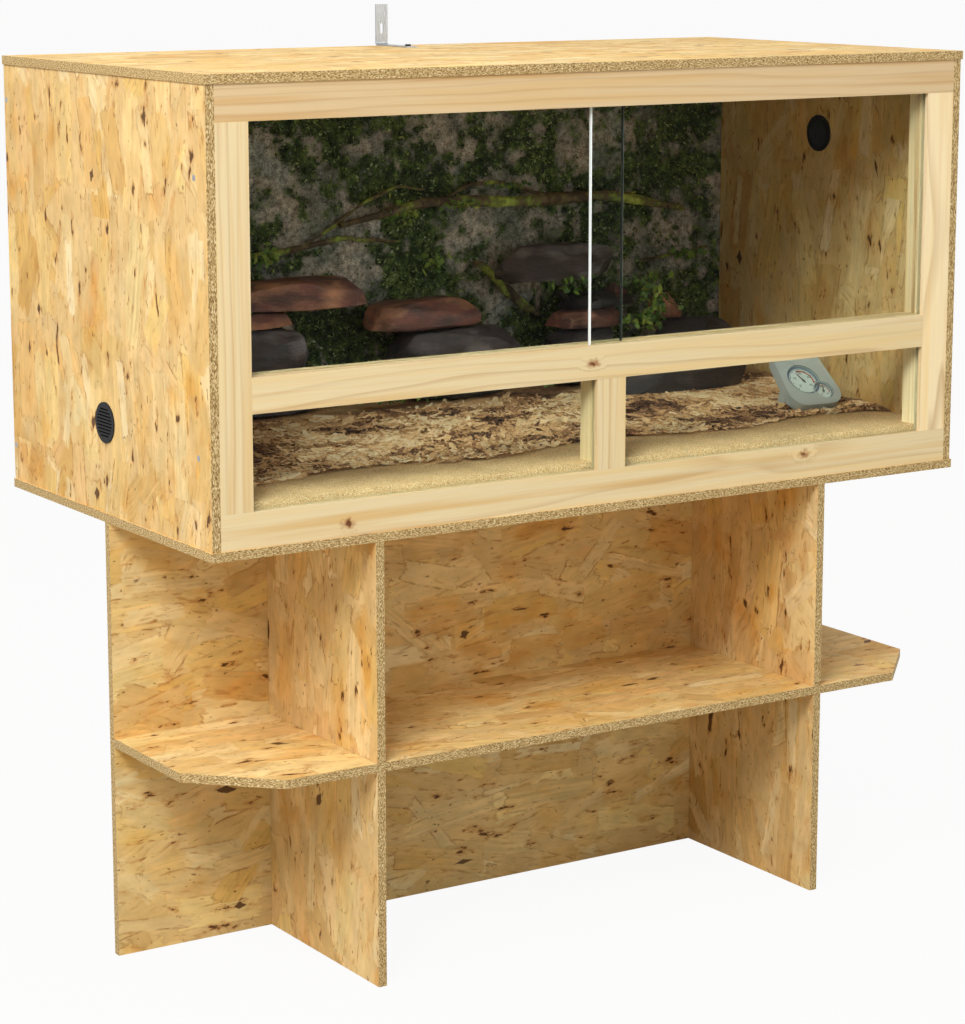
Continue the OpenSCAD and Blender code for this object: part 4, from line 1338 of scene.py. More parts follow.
@dataclass
class Backdrop(Assembly):
    """Relief panel on the back wall, its branches, and the moss on them."""

    rock: bpy.types.Material
    bark: bpy.types.Material
    moss: bpy.types.Material
    cols: int = 350
    rows: int = 170
    leaflets: int = 24800
    seed: int = 5

    def build(self) -> None:
        """Builds the relief, the two branches and the moss."""
        sheet, cover = self._relief()
        self._branch("upper_branch", 90)
        self._branch("lower_branch", 40)
        self._moss(sheet.reshape(-1, 3), cover.ravel())

    def _relief(self) -> tuple[np.ndarray, np.ndarray]:
        """Builds the relief from the CAD sheet's own grid.

        The coarse depths are blended along both ways, and three sizes of noise are laid over
        them, always behind the panel's front plane.

        Returns:
            The sheet's points, rows by cols by 3, and its moss cover from 0 to 1.
        """
        no_depth, deepest, flat_side, back_wall = 1000.0, 0.017, 0.01, 0.006
        known = self.points("backdrop")
        front, back = known[:, 1].min(), known[:, 1].max()
        known_x, known_z = known[:, 0].round(4), known[:, 2].round(4)
        xs, zs = np.unique(known_x), np.unique(known_z)
        depth = np.full((len(zs), len(xs)), no_depth)
        np.minimum.at(depth, (np.searchsorted(zs, known_z), np.searchsorted(xs, known_x)), known[:, 1])
        x, z = np.linspace(xs[0], xs[-1], self.cols), np.linspace(zs[0], zs[-1], self.rows)
        y = resample(resample(depth, xs, x, 1), zs, z, 0)
        grid_x, grid_z = np.meshgrid(x, z)
        plane = np.stack([grid_x, y * 0, grid_z], axis=-1)
        patches = soft_noise(plane, 0.11, self.seed + 9, 2)
        clumps = soft_noise(plane, 0.018, self.seed + 13, 3)
        hollow = (y - front) / deepest
        cover = np.clip(0.56 + 0.7 * (hollow - 0.45) + 0.45 * patches + 0.85 * clumps, 0, 1)
        lumps = soft_noise(plane, 0.05, self.seed, 2)
        crags = np.abs(soft_noise(plane, 0.03, self.seed + 3, 3))
        pores = soft_noise(plane, 0.009, self.seed + 6, 2)
        y = y + 0.004 + 0.0025 * lumps + 0.007 * crags + 0.0012 * pores
        sides = np.minimum(1, np.minimum(grid_x - x[0], x[-1] - grid_x) / flat_side)
        y = np.clip(y * sides + (1 - sides) * front, front + 0.0002, back - back_wall)
        sheet = np.stack([grid_x, y, grid_z], axis=-1)
        shape = slab_under(sheet, sheet, 1, back)
        moss = np.concatenate([cover.ravel(), np.ones(len(shape[0]) - cover.size)])
        add_piece("backdrop_relief", shape, self.rock, "backdrop_cork", ("backdrop",), moss=moss)
        return sheet, cover

    def _branch(self, node: str, steps: int) -> None:
        """Builds one branch with knobs, bark ridges and pinched ends.

        The centre line is the mean of the CAD rings in slices along X.

        Args:
            node: the CAD branch.
            steps: rings along it.
        """
        slices, sides, thinner, girth = 11, 20, 0.8, 0.01
        known = self.points(node)
        edges = np.linspace(known[:, 0].min(), known[:, 0].max(), slices + 1)
        slot = np.clip(np.searchsorted(edges, known[:, 0]) - 1, 0, slices - 1)
        spine = np.array([known[slot == i].mean(axis=0) for i in range(slices) if (slot == i).any()])
        path = smooth_path(spine, steps, 6)
        ring = np.stack([np.cos(full_turn(sides)), np.sin(full_turn(sides))], axis=-1) * girth
        places = np.empty((steps, sides, 3))
        places[..., 0] = path[:, :1]
        places[..., 1:] = ring
        knobs = soft_noise(places, 0.03, 21, 3)
        ridges = np.abs(soft_noise(places * [1, 6, 6], 0.02, 24, 2))
        share = np.clip(np.linspace(0, 1, steps), 0.02, 0.98)[:, None]
        radius = np.ptp(known[:, 1]) / 2 * thinner * (0.35 + 0.65 * np.sin(np.pi * share) ** 0.4)
        shape = swept_tube(path, radius * (0.84 + 0.34 * knobs + 0.2 * ridges))
        tint = np.clip(0.42 + 0.65 * soft_noise(shape[0], 0.05, 31, 2), 0, 1)
        add_piece(node + "_bark", shape, self.bark, "branch_wood", (node,), tint=tint)

    def _moss(self, places: np.ndarray, cover: np.ndarray) -> None:
        """Strews moss leaflets where the cover is thick.

        Args:
            places: the relief's points.
            cover: its moss cover.
        """
        dice, count = np.random.default_rng(self.seed), self.leaflets
        seen = (places[:, 2] > 0.685) & (np.abs(places[:, 0]) < 0.575) & (places[:, 2] < 1.17)
        weight = np.where(seen, np.clip(cover - 0.25, 0, 1) ** 1.3, 0)
        picks = dice.choice(len(places), count, p=weight / weight.sum())
        centres = places[picks] + dice.normal(0, 0.0016, (count, 3)) * [1, 0, 1]
        pad = np.clip(soft_noise(centres, 0.022, 43, 2) + 0.35, 0, 1) * weight[picks]
        centres[:, 1] -= 0.001 + 0.009 * pad * dice.uniform(0.3, 1, count)
        frames = random_frames(dice, count, (0.0, -1.0, 0.5), 0.8)
        length = dice.uniform(0.0033, 0.008, count)
        bit = Bit.spindle()
        shape = bit.strew(centres, frames, (length, length * 0.5, length * 0.2))
        clumps = soft_noise(centres, 0.05, 41, 3)
        tint = np.clip(0.4 + 0.3 * clumps + 0.22 * pad + dice.uniform(-0.18, 0.16, count), 0, 1)
        pale = dice.uniform(0, 1, count) > 0.91
        tint = np.where(pale, dice.uniform(0.75, 1.0, count), tint)
        add_piece("backdrop_moss", shape, self.moss, "backdrop_cork", smooth=False,
                  tint=np.repeat(tint, len(bit.points)))


@dataclass
class Bedding(Assembly):
    """Sand strip and bark mulch on the cabinet's floor."""

    sand: bpy.types.Material
    mulch: bpy.types.Material
    cols: int = 300
    rows: int = 120
    chips: int = 8200
    crumbs: int = 420
    seed: int = 12

    def build(self) -> None:
        """Builds the bark's surface, its chips and the sand."""
        top = self._bark_grid()
        across, deep = top.shape[:2]
        fine = resample(top, np.linspace(0, 1, across), np.linspace(0, 1, self.cols), 0)
        fine = resample(fine, np.linspace(0, 1, deep), np.linspace(0, 1, self.rows), 1).transpose(1, 0, 2)
        self._bark_surface(fine)
        self._chips(fine)
        self._sand(top[:, 0])

    def _bark_grid(self) -> np.ndarray:
        """Finds the top points of the CAD bark.

        Returns:
            Columns along X by points along Y by 3.
        """
        known = self.points("bark_bed")
        known = known[known[:, 2] > known[:, 2].min() + 0.001]
        columns = [known[np.abs(known[:, 0] - x) < 1e-4] for x in np.unique(known[:, 0].round(4))]
        return np.array([c[np.argsort(c[:, 1])] for c in columns])

    def _bark_surface(self, fine: np.ndarray) -> None:
        """Builds the mulch as a ragged sheet whose front edge breaks onto the sand.

        Args:
            fine: top points of the bark, rows by cols by 3.
        """
        ragged = soft_noise(fine * [1, 1, 0], 0.03, self.seed, 3)
        crumbly = soft_noise(fine * [1, 1, 0], 0.008, self.seed + 4, 2)
        near_front = np.exp(-np.arange(self.rows) / 8)[:, None]
        sheet = fine.copy()
        sheet[..., 1] += near_front * (0.009 * ragged + 0.004 * crumbly)
        sheet[..., 2] += 0.0018 * ragged + 0.0016 * crumbly - 0.0022 - 0.0035 * near_front
        shape = slab_under(sheet, fine, 2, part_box("bark_bed")[0].z)
        tint = np.clip(0.48 + 0.45 * soft_noise(shape[0] * [1, 1.6, 0], 0.07, self.seed + 7, 2), 0, 1)
        add_piece("mulch_surface", shape, self.mulch, "bark_mulch", ("bark_bed",), tint=tint)

    def _chips(self, fine: np.ndarray) -> None:
        """Strews chips over the mulch, and pale crumbs where it meets the sand.

        Args:
            fine: top points of the bark, rows by cols by 3.
        """
        chip_rows, crumb_rows, side_cols, backmost, longest = 86, 7, 4, 0.2, 0.03
        dice, count = np.random.default_rng(self.seed), self.chips + self.crumbs
        crumb = np.arange(count) >= self.chips
        row = (dice.beta(1.0, 1.35, count) * chip_rows).astype(int)
        row[crumb] = dice.integers(0, crumb_rows, self.crumbs)
        col = dice.integers(side_cols, self.cols - side_cols, count)
        centres = fine[row, col] + dice.normal(0, 0.0015, (count, 3)) * [1, 1, 0]
        centres[:, 2] -= 0.0008
        length = np.where(crumb, dice.uniform(0.002, 0.0055, count), dice.gamma(2.0, 0.0044, count) + 0.0045)
        length = np.minimum(length, longest)
        width = length * np.where(crumb, 0.8, dice.uniform(0.18, 0.46, count))
        thick = np.where(crumb, length * 0.55, dice.uniform(0.0008, 0.0018, count))
        frames = self._combed_frames(dice, centres)
        curl = np.where(crumb, 0.0, dice.uniform(-0.06, 0.1, count))
        centres[:, 1] -= np.where(row < 3, dice.uniform(0, 0.006, count), 0)
        centres[:, 1] = np.minimum(centres[:, 1], backmost)
        bit = Bit.chip()
        points, faces = bit.strew(centres, frames, (length, width, thick), curl)
        low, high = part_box("bark_bed")
        points[:, 0] = np.clip(points[:, 0], low.x + 0.0005, high.x - 0.0005)
        points[:, 2] = np.maximum(points[:, 2], low.z + 0.03)
        zone = soft_noise(centres * [1, 1.6, 0], 0.07, self.seed + 7, 3)
        tint = np.clip(0.59 + 0.8 * zone + dice.uniform(-0.3, 0.34, count), 0, 1)
        tint[crumb] = dice.uniform(0.2, 0.85, self.crumbs)
        add_piece("mulch_chips", (points, faces), self.mulch, "bark_mulch", smooth=False,
                  tint=np.repeat(tint, len(bit.points)))

    @staticmethod
    def _combed_frames(dice: np.random.Generator, centres: np.ndarray) -> np.ndarray:
        """Lies each chip down along a direction that drifts over the bed, give or take 45 degrees.

        Args:
            dice: source of random numbers.
            centres: the chips' places.

        Returns:
            n by 3 by 3 frames, axes as columns.
        """
        count = len(centres)
        turn = 1.6 * soft_noise(centres * [1, 1, 0], 0.16, 77, 2) + dice.normal(0, 0.55, count)
        up = unit([0.0, -0.12, 1.0] + dice.uniform(-0.26, 0.26, (count, 3)))
        first = np.stack([np.cos(turn), np.sin(turn), np.zeros(count)], axis=-1)
        first = unit(first - (first * up).sum(axis=1, keepdims=True) * up)
        return np.stack([first, np.cross(up, first), up], axis=-1)

    def _sand(self, edge: np.ndarray) -> None:
        """Builds the sand as one sheet from the frame's back to under the mulch.

        Its height is the CAD level less low dunes. The stretches over the bottom rail, between
        the panes and the frame's back, are sheets of their own.

        Args:
            edge: points along the mulch's front edge.
        """
        clear = 0.0002
        (low, high), rail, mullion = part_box("sand_bed"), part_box("bottom_rail")[1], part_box("mullion")
        x = np.linspace(low.x, high.x, 300)
        share = np.linspace(0, 1, 40)[:, None]
        y = rail.y + share * (np.interp(x, edge[:, 0], edge[:, 1]) - rail.y)
        self._dunes("sand_strip", np.broadcast_to(x, y.shape), y, high.z, low.z, ("sand_bed",))
        for name, start, end in (
            ("sand_left_bay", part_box("left_stile")[1].x, mullion[0].x),
            ("sand_right_bay", mullion[1].x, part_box("right_stile")[0].x),
        ):
            x, y = np.meshgrid(np.linspace(start + clear, end - clear, 140), np.linspace(low.y, rail.y, 10))
            self._dunes(name, x, y, high.z, rail.z + clear)

    def _dunes(self, name: str, x: np.ndarray, y: np.ndarray, level: float, base: float,
               replaces: tuple[str, ...] = ()) -> None:
        """Builds one stretch of sand over a grid.

        Args:
            name: the piece's name.
            x: grid of places along X.
            y: grid of places along Y.
            level: the sand's height.
            base: height of its underside.
            replaces: CAD nodes that it stands for.
        """
        ripple = soft_noise(np.stack([x, y, x * 0], axis=-1), 0.045, self.seed + 20, 2)
        sheet = np.stack([x, y, level - 0.0016 + 0.0015 * ripple], axis=-1)
        add_piece(name, slab_under(sheet, sheet, 2, base), self.sand, "sand", replaces, smooth=False)


@dataclass
class Stones(Assembly):
    """The flat stones, each grown from its CAD slab. Their kinds run from the first to the last."""

    kinds: str = "GGRRDGRDGRDDRGDDRD"
    cols: int = 132
    rows: int = 36
    roundness: float = 5.4
    taper: float = 0.5
    fuller: float = 1.06
    chips: int = 26

    def build(self) -> None:
        """Builds every stone."""
        finishes = {kind.name[0]: (Slate(kind).build(), kind.name.lower() + "_slate") for kind in SlateKind}
        for number, letter in enumerate(self.kinds, start=1):
            shape = self._stone(self.points(f"slate_{number}"), number)
            add_piece(f"slate_{number}_worn", shape, *finishes[letter], (f"slate_{number}",))

    def _stone(self, known: np.ndarray, seed: int) -> Shape:
        """Works one stone out.

        The section is a rounded rectangle: at angle a from the middle height, the ring has cos a
        to the power 2 / roundness of the outline, and the height follows sin a. Beds step the
        side in and out, noise wears it, each end thins like a lens, and broad waves lower the top.

        Args:
            known: the CAD stone's points.
            seed: picks its wear.

        Returns:
            The points and the faces.
        """
        low, high = known.min(axis=0), known.max(axis=0)
        middle, half = (low + high) / 2, (high[2] - low[2]) / 2
        outline = self._outline(known - middle)
        lean, power = np.linspace(-np.pi / 2, np.pi / 2, self.rows + 2)[1:-1, None], 2 / self.roundness
        reach = np.cos(lean) ** power
        rise = np.sign(np.sin(lean)) * np.abs(np.sin(lean)) ** power
        rings = np.empty((self.rows, self.cols, 3))
        rings[..., :2] = outline[None] * reach[..., None]
        rings[..., 2] = rise * half * self.fuller
        wear = 1 + soft_noise(rings + middle, 0.045, seed * 7, 3)
        strata = 1 + soft_noise((rings + middle) * [0.35, 0.35, 2.6], 0.012, seed * 11, 3)
        side = np.clip(reach, 0, 1) ** 2
        rings[..., :2] *= (self.fuller - 0.035 * wear - 0.055 * strata * side)[..., None]
        rings[..., 2] -= np.sign(rise) * half * 0.05 * wear * (1 - side)
        end = np.abs(rings[..., 0]) / np.abs(outline[:, 0]).max()
        rings[..., 2] *= 1 - self.taper * np.where(rise > 0, 1.0, 0.45) * end**2.6
        wave = soft_noise((rings + middle) * [1, 1, 0], 0.07, seed * 13, 2) - 1
        height = np.linspace(0, 1, self.rows)[:, None]
        rings[..., 2] += half * wave * (0.13 * height - 0.05 * (1 - height))
        rings = self._chipped(rings, seed) + middle
        bottom, top = ([*middle[:2], ring[:, 2].mean()] for ring in (rings[0], rings[-1]))
        return capped_rings(rings, np.array(bottom), np.array(top))

    def _outline(self, known: np.ndarray) -> np.ndarray:
        """Makes the widest CAD ring smooth by adding its sine waves up at more angles.

        Args:
            known: the CAD stone's points about its middle.

        Returns:
            Places across and deep, cols by 2.
        """
        levels = known[:, 2].round(4)
        rings = [known[levels == level, :2] for level in np.unique(levels)]
        widest = max(rings, key=lambda ring: np.ptp(ring[:, 0]))
        widest = widest[np.argsort(np.arctan2(widest[:, 1], widest[:, 0]))]
        count = len(widest)
        turns = full_turn(self.cols)[:, None] * np.fft.fftfreq(count, 1 / count)[None]
        return np.real(np.exp(1j * turns) @ (np.fft.fft(widest, axis=0) / count))

    def _chipped(self, rings: np.ndarray, seed: int) -> np.ndarray:
        """Cuts flat facets round the rim: what stands beyond a plane is moved straight back onto it.

        Args:
            rings: the stone's points about its middle.
            seed: picks the facets.

        Returns:
            The points after chipping.
        """
        dice = np.random.default_rng(seed)
        turn = dice.uniform(0, 2 * np.pi, self.chips)
        normals = unit(np.stack([np.cos(turn), np.sin(turn), dice.uniform(-0.5, 1.3, self.chips)], axis=-1))
        for normal, depth in zip(normals, dice.uniform(0.004, 0.014, self.chips)):
            reach = rings @ normal
            rings = rings - np.maximum(reach - reach.max() + depth, 0)[..., None] * normal
        return rings


@dataclass(frozen=True)
class Sprig:
    """A clump of leaves: its middle in millimetres, its reach, its leaves, their length and tint."""

    at_mm: Triple
    reach_mm: Triple
    leaves: int
    length_mm: float
    tint: float

    def strew(self, bit: Bit, dice: np.random.Generator) -> tuple[Shape, np.ndarray]:
        """Strews the clump's leaves.

        Args:
            bit: a leaf.
            dice: source of random numbers.

        Returns:
            Points and faces, and one tint a point.
        """
        count = self.leaves
        centres = (np.array(self.at_mm) + dice.normal(0, 0.55, (count, 3)) * self.reach_mm) * MM
        frames = random_frames(dice, count, (0.0, -0.8, 0.6), 0.75)
        length = self.length_mm * MM * dice.uniform(0.6, 1.2, count)
        sizes = length, length * dice.uniform(0.4, 0.62, count), length
        shape = bit.strew(centres, frames, sizes, dice.uniform(-0.08, 0.1, count))
        tint = np.clip(self.tint + dice.uniform(-0.3, 0.22, count), 0, 1)
        return shape, np.repeat(tint, len(bit.points))


@dataclass(frozen=True)
class Vine:
    """A thin stem on the backdrop: places across and up, and its radius, in millimetres."""

    way_mm: tuple[tuple[float, float], ...]
    radius_mm: float

    def build(self, name: str, material: bpy.types.Material) -> None:
        """Sweeps the stem along its way, with knobs and thinner ends, just before the backdrop.

        Args:
            name: the piece's name.
            material: its finish.
        """
        steps, sides, radius = 70, 10, self.radius_mm * MM
        path = smooth_path(np.array([(x, 0, z) for x, z in self.way_mm]) * MM, steps, 12)
        path[:, 2] += 0.003 * soft_noise(path, 0.025, 51, 2)
        path[:, 1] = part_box("backdrop")[0].y - radius * 0.8
        knobs = soft_noise(path, 0.02, 53, 2)[:, None]
        taper = 0.45 + 0.55 * np.sin(np.pi * np.linspace(0, 1, steps))[:, None] ** 0.5
        shape = swept_tube(path, radius * taper * (0.9 + 0.3 * knobs) * np.ones(sides))
        tint = np.clip(0.45 + 0.75 * soft_noise(shape[0], 0.03, 57, 2), 0, 1)
        add_piece(name, shape, material, "branch_wood", tint=tint)


VINES = (
    Vine(((-420, 880), (-330, 893), (-240, 902), (-171, 909), (-100, 920), (-6, 908)), 4.5),
    Vine(((-180, 905), (-120, 935), (-62, 972), (-6, 990), (40, 985)), 2.6),
    Vine(((60, 960), (110, 985), (170, 990), (240, 968), (330, 955), (420, 962)), 3.4),
    Vine(((172, 836), (196, 812), (214, 798), (238, 785)), 8.0),
    Vine(((430, 852), (500, 862), (560, 868)), 3.0),
)
SPRIGS = (
    Sprig((372, 118, 808), (26, 10, 34), 60, 15, 0.66),
    Sprig((350, 122, 779), (34, 8, 12), 46, 12, 0.7),
    Sprig((232, 121, 842), (48, 8, 12), 46, 12, 0.5),
    Sprig((330, 118, 842), (30, 8, 10), 30, 11, 0.55),
    Sprig((512, 228, 860), (34, 5, 8), 30, 14, 0.62),
    Sprig((-232, 228, 900), (24, 6, 14), 34, 14, 0.74),
    Sprig((-268, 226, 890), (14, 6, 46), 26, 14, 0.6),
    Sprig((46, 229, 876), (24, 5, 10), 30, 13, 0.72),
    Sprig((-6, 228, 952), (34, 5, 14), 56, 12, 0.76),
    Sprig((88, 218, 962), (30, 5, 8), 44, 9, 0.82),
    Sprig((170, 219, 984), (30, 5, 6), 30, 9, 0.6),
    Sprig((-70, 122, 708), (80, 14, 14), 150, 11, 0.62),
    Sprig((40, 122, 712), (70, 14, 12), 120, 11, 0.6),
    Sprig((-128, 124, 712), (30, 14, 14), 60, 11, 0.5),
    Sprig((190, 124, 716), (26, 12, 18), 60, 12, 0.55),
    Sprig((392, 122, 716), (16, 12, 18), 46, 12, 0.5),
    Sprig((-380, 140, 720), (24, 18, 24), 80, 12, 0.55),
    Sprig((-470, 170, 705), (60, 24, 14), 120, 12, 0.45),
)


@dataclass
class Greenery:
    """Leaves, moss clumps and thin stems among the stones and on the branches."""

    leaves: bpy.types.Material
    bark: bpy.types.Material
    seed: int = 33

    def build(self) -> None:
        """Builds the stems, and strews every clump's leaves as one piece."""
        for number, vine in enumerate(VINES, start=1):
            vine.build(f"vine_{number}", self.bark)
        dice = np.random.default_rng(self.seed)
        clumps = [sprig.strew(Bit.leaf(), dice) for sprig in SPRIGS]
        points, faces = joined([shape for shape, _ in clumps])
        points[:, 1] = np.minimum(points[:, 1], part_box("backdrop")[0].y - 0.0005)
        add_piece("leaf_clumps", (points, faces), self.leaves, "branch_wood", smooth=False,
                  tint=np.concatenate([tint for _, tint in clumps]))


@dataclass(frozen=True)
class DialPrint:
    """The print of one dial: rim band, warm arc, ticks and plain numbers.

    A share of the scale runs from 0 at the lower left, clockwise, to 1 at the lower right.
    """

    name: str
    radius: float
    numbers: tuple[int, ...]
    ticks: int

    def draw(self, middle: Vector, axis: Vector, dial: np.ndarray, inks: dict) -> None:
        """Prints the scale on the dial.

        Args:
            middle: a point on the needle's axis.
            axis: the needle's axis, which is the dial's normal.
            dial: the dial's points.
            inks: finishes of the rim, the warm arc and the marks.
        """
        normal = axis.normalized()
        right = Vector((0, 0, 1)).cross(normal).normalized()
        lift = max((Vector(p) - middle).dot(normal) for p in dial) + 0.00008
        turned = Matrix((right, normal.cross(right), normal)).transposed().to_4x4()
        place = Matrix.Translation(middle + normal * lift) @ turned
        rim = self._band(0.84, 0.985, np.linspace(0, 2 * np.pi, 73))
        arc = self._band(0.6, 0.7, np.linspace(self._angle(0.45), self._angle(0.92), 31))
        ticks = joined([self._tick(index) for index in range(self.ticks + 1)])
        for name, shape, ink in (("rim", rim, "rim"), ("arc", arc, "warm"), ("ticks", ticks, "marks")):
            self._lay(f"{self.name}_{name}", shape, place, inks[ink])
        for index, number in enumerate(self.numbers):
            angle = self._angle(index / (len(self.numbers) - 1))
            shape = self._figure(str(number), (math.cos(angle), math.sin(angle)))
            self._lay(f"{self.name}_figure_{number}", shape, place, inks["marks"])

    @staticmethod
    def _angle(share: float) -> float:
        """Returns the angle of a share of the scale."""
        return math.radians(225 - 270 * share)

    @staticmethod
    def _lay(name: str, shape: Shape, place: Matrix, ink: bpy.types.Material) -> None:
        """Lays a flat drawing on the dial.

        Args:
            name: the piece's name.
            shape: its points on the dial, and its faces.
            place: turns and moves the dial's own axes to the part's.
            ink: its finish.
        """
        matrix = np.array(place)
        points = shape[0] @ matrix[:3, :3].T + matrix[:3, 3]
        add_piece(name, (points, shape[1]), ink, "dial_card", smooth=False)

    def _band(self, inner: float, outer: float, turn: np.ndarray) -> Shape:
        """A flat band of a ring, 0.06 mm thick.

        Args:
            inner: inner radius, as a share of the dial's.
            outer: outer radius, as a share of the dial's.
            turn: angles of its steps.

        Returns:
            The points and the faces.
        """
        radius = self.radius * np.array([inner, outer, outer, inner])
        ring = np.empty((len(turn), 4, 3))
        ring[..., 0] = radius * np.cos(turn)[:, None]
        ring[..., 1] = radius * np.sin(turn)[:, None]
        ring[..., 2] = np.array([0, 0, 1, 1]) * 0.00006
        return square_rings(ring)

    def _tick(self, index: int) -> Shape:
        """A thin box along a spoke of the dial, longer at every fifth tick.

        Args:
            index: the tick's number.

        Returns:
            The points and the faces.
        """
        angle = self._angle(index / self.ticks)
        along = np.array([math.cos(angle), math.sin(angle), 0])
        aside = np.array([-along[1], along[0], 0]) * 0.018
        inner, outer = 0.76 if index % 5 else 0.7, 0.82
        corners = ((inner, -1), (outer, -1), (outer, 1), (inner, 1))
        loop = np.array([reach * along + side * aside for reach, side in corners]) * self.radius
        return square_rings(np.array([loop, loop + [0, 0, 0.00007]]))

    def _figure(self, digits: str, way: tuple[float, float]) -> Shape:
        """A number as thin solid figures, halfway out on the dial.

        Args:
            digits: the number.
            way: direction from the dial's middle.

        Returns:
            The points and the faces.
        """
        text = bpy.data.curves.new("figure", "FONT")
        text.body = digits
        text.size = self.radius * 0.24
        text.align_x = text.align_y = "CENTER"
        text.extrude = 0.00003
        text.resolution_u = 3
        figure = bpy.data.objects.new("figure", text)
        bpy.context.scene.collection.objects.link(figure)
        bpy.context.view_layer.update()
        mesh = bpy.data.meshes.new_from_object(figure.evaluated_get(bpy.context.evaluated_depsgraph_get()))
        bpy.data.objects.remove(figure)
        middle = np.array([*way, 0]) * self.radius * 0.5 + [0, 0, text.extrude]
        points = np.array([v.co[:] for v in mesh.vertices]) + middle
        return points, [p.vertices[:] for p in mesh.polygons]


@dataclass
class DialInstrument(Assembly):
    """Thermometer and hygrometer in one grey case: printed dials, needles and lenses."""

    joints: list
    dials: tuple[DialPrint, ...] = (
        DialPrint("thermometer", 0.027, (0, 10, 20, 30, 40), 40),
        DialPrint("hygrometer", 0.0155, (20, 50, 80), 30),
    )

    def dress(self) -> None:
        """Gives the instrument's parts their finishes and prints the dials."""
        self.ease("instrument_case", 0.2, MouldedPlastic("moulded_grey_abs", "#b6bdbb", 0.38).build(),
                  "grey_plastic")
        self.finish(PrintedCard("dial_card", "#fbfbff").build(), "thermometer_dial", "hygrometer_dial")
        self.finish(PrintedCard("needle_paint", "#26262c").build(), "thermometer_needle", "hygrometer_needle")
        self.finish(PlatedSteel("bright_steel_pin", ("#b8bcc0", "#dcdfe2")).build(), "needle_arbors")
        self.finish(FloatGlass("clear_acrylic_lens", 1.49).build(), "dial_lenses")
        inks = {
            "rim": PrintedCard("ink_slate_blue", "#7486a8").build(),
            "warm": PrintedCard("ink_warm_red", "#c4604e").build(),
            "marks": PrintedCard("ink_dark", "#34363f").build(),
        }
        for dial in self.dials:
            joint = next(j for j in self.joints if j["name"] == dial.name + "_needle_turn")
            dial.draw(Vector(joint["pos_m"]), Vector(joint["axis"]), self.points(dial.name + "_dial"), inks)


@dataclass(frozen=True)
class Softbox:
    """A square soft lamp that faces a point."""

    name: str
    place: Triple
    aim: Triple
    size: float
    watts: float

    def hang(self) -> None:
        """Hangs the lamp."""
        data = bpy.data.lights.new(self.name, "AREA")
        data.size = self.size
        data.energy = self.watts
        lamp = bpy.data.objects.new(self.name, data)
        lamp.location = self.place
        lamp.rotation_mode = "QUATERNION"
        lamp.rotation_quaternion = (Vector(self.aim) - Vector(self.place)).to_track_quat("-Z", "Y")
        bpy.context.scene.collection.objects.link(lamp)


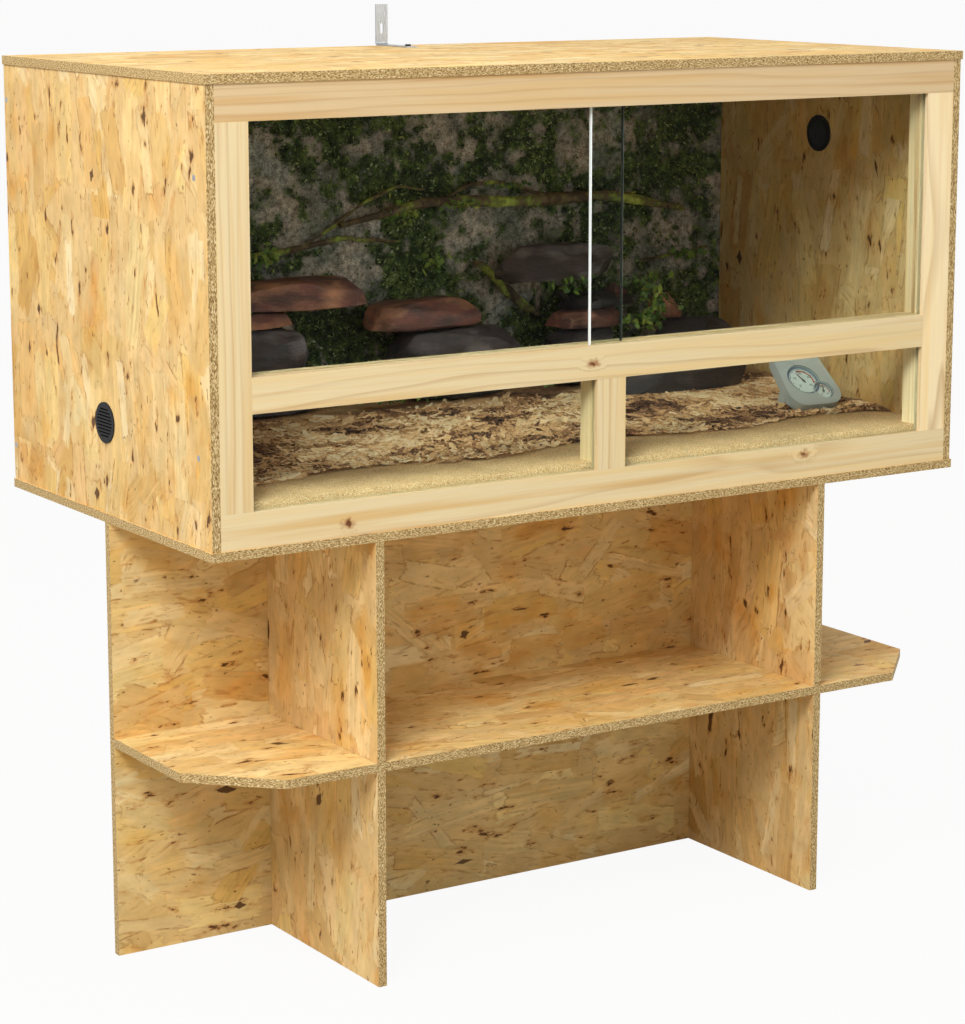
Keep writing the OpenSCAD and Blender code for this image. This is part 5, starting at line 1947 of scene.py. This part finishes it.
@dataclass
class Studio:
    """Pale floor, white surroundings, soft lamps and the camera."""

    yaw_deg: float = 32.71
    pitch_deg: float = 10.45
    distance: float = 4.159
    aim: Triple = (0.0, 0.0, 0.6)
    aside: float = -0.0119
    raised: float = 0.0175
    focal_px: float = 2926.0
    shift: float = -0.05
    floor_reach: float = 60.0
    ambient: float = 0.46
    floor_white: float = 0.94

    def build(self) -> None:
        """Builds the studio round the part."""
        self._camera()
        self._floor()
        self._world()
        Softbox("top_light", (0.0, -0.5, 4.6), (0.0, 0.0, 1.0), 3.0, 20.0).hang()
        Softbox("key_light", (-2.75, -2.3, 3.5), (0.0, 0.0, 0.7), 1.7, 150.0).hang()
        Softbox("side_light", (-3.15, -0.2, 3.4), (-0.3, 0.0, 0.8), 2.0, 44.0).hang()
        Softbox("fill_light", (2.6, -3.2, 2.2), (0.0, 0.0, 0.6), 2.4, 30.0).hang()

    def _camera(self) -> None:
        """Sets the camera at the photo's angle. The image is 965 by 1024."""
        yaw, pitch = math.radians(self.yaw_deg), math.radians(self.pitch_deg)
        ahead = Vector((math.sin(yaw) * math.cos(pitch), math.cos(yaw) * math.cos(pitch), -math.sin(pitch)))
        right = Vector((math.cos(yaw), -math.sin(yaw), 0))
        target = Vector(self.aim) + right * self.aside + right.cross(ahead) * self.raised
        data = bpy.data.cameras.new("camera")
        data.sensor_width = SENSOR_MM
        data.lens = self.focal_px * SENSOR_MM / IMAGE_LONG_SIDE_PX
        data.shift_y = self.shift
        data.clip_end = 200.0
        camera = bpy.data.objects.new("camera", data)
        camera.location = target - ahead * self.distance
        camera.rotation_mode = "QUATERNION"
        camera.rotation_quaternion = ahead.to_track_quat("-Z", "Y")
        bpy.context.scene.collection.objects.link(camera)
        bpy.context.scene.camera = camera

    @staticmethod
    def _seen(add: Callable) -> Socket:
        """Tells what is seen from what lights.

        Args:
            add: adds a node to the tree.

        Returns:
            1 for what the eye sees straight, mirrored or through glass, and 0 for lighting.
        """
        rays = add("LightPath").node.outputs
        seen = add("Math", {0: rays["Is Camera Ray"], 1: rays["Is Transmission Ray"]}, operation="MAXIMUM")
        seen = add("Math", {0: seen, 1: rays["Is Glossy Ray"]}, operation="MAXIMUM")
        lighting = add("Math", {0: rays["Diffuse Depth"], 1: 0.5}, operation="GREATER_THAN")
        return add("Math", {0: seen, 1: lighting}, operation="SUBTRACT", use_clamp=True)

    def _floor(self) -> None:
        """Lays a pale floor that keeps the part's shadow."""
        surface = Surface("pale_floor", Roughness=0.9, Base_Color=linear("#c4c2ba"))
        share = surface.add("Math", {0: self._seen(surface.add), 1: self.floor_white}, operation="MULTIPLY")
        surface.mixed(share, surface.add("Emission", {"Color": (1, 1, 1, 1), "Strength": 1.0}))
        reach = self.floor_reach
        mesh = bpy.data.meshes.new("floor")
        corners = [(-reach, -reach, 0), (reach, -reach, 0), (reach, reach, 0), (-reach, reach, 0)]
        mesh.from_pydata(corners, [], [(0, 1, 2, 3)])
        mesh.materials.append(surface.material)
        floor = bpy.data.objects.new("floor", mesh)
        bpy.context.scene.collection.objects.link(floor)

    def _world(self) -> None:
        """Lights all round evenly, and shows white to the eye, to mirrors and through glass."""
        world = bpy.data.worlds.new("studio")
        world.use_nodes = True
        world.node_tree.nodes.clear()
        add = partial(add_node, world.node_tree)
        lit = add("Background", {"Color": (0.94, 1.0, 1.0, 1), "Strength": self.ambient})
        white = add("Background", {"Color": (1, 1, 1, 1), "Strength": 1.0})
        add("OutputWorld", {"Surface": add("MixShader", {0: self._seen(add), 1: lit, 2: white})})
        bpy.context.scene.world = world


def main() -> None:
    """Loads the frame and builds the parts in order."""
    logging.basicConfig(level=logging.INFO, format="%(name)s %(message)s")
    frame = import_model()
    nodes = frame["nodes"]
    bpy.context.scene.view_settings.view_transform = "Standard"
    Studio().build()
    Carcass(nodes).dress()
    FrontFrame(nodes).dress()
    Glazing(nodes).dress()
    Fittings(nodes).dress()
    bark = MOSSY_BARK.build()
    Backdrop(nodes, MossyRock().build(), bark, MOSS_LEAFLETS.build()).build()
    Bedding(nodes, FineSand().build(), BARK_MULCH.build()).build()
    Stones(nodes).build()
    Greenery(LEAF_GREEN.build(), bark).build()
    DialInstrument(nodes, frame["joints"]).dress()
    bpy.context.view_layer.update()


if __name__ == "__main__":
    main()
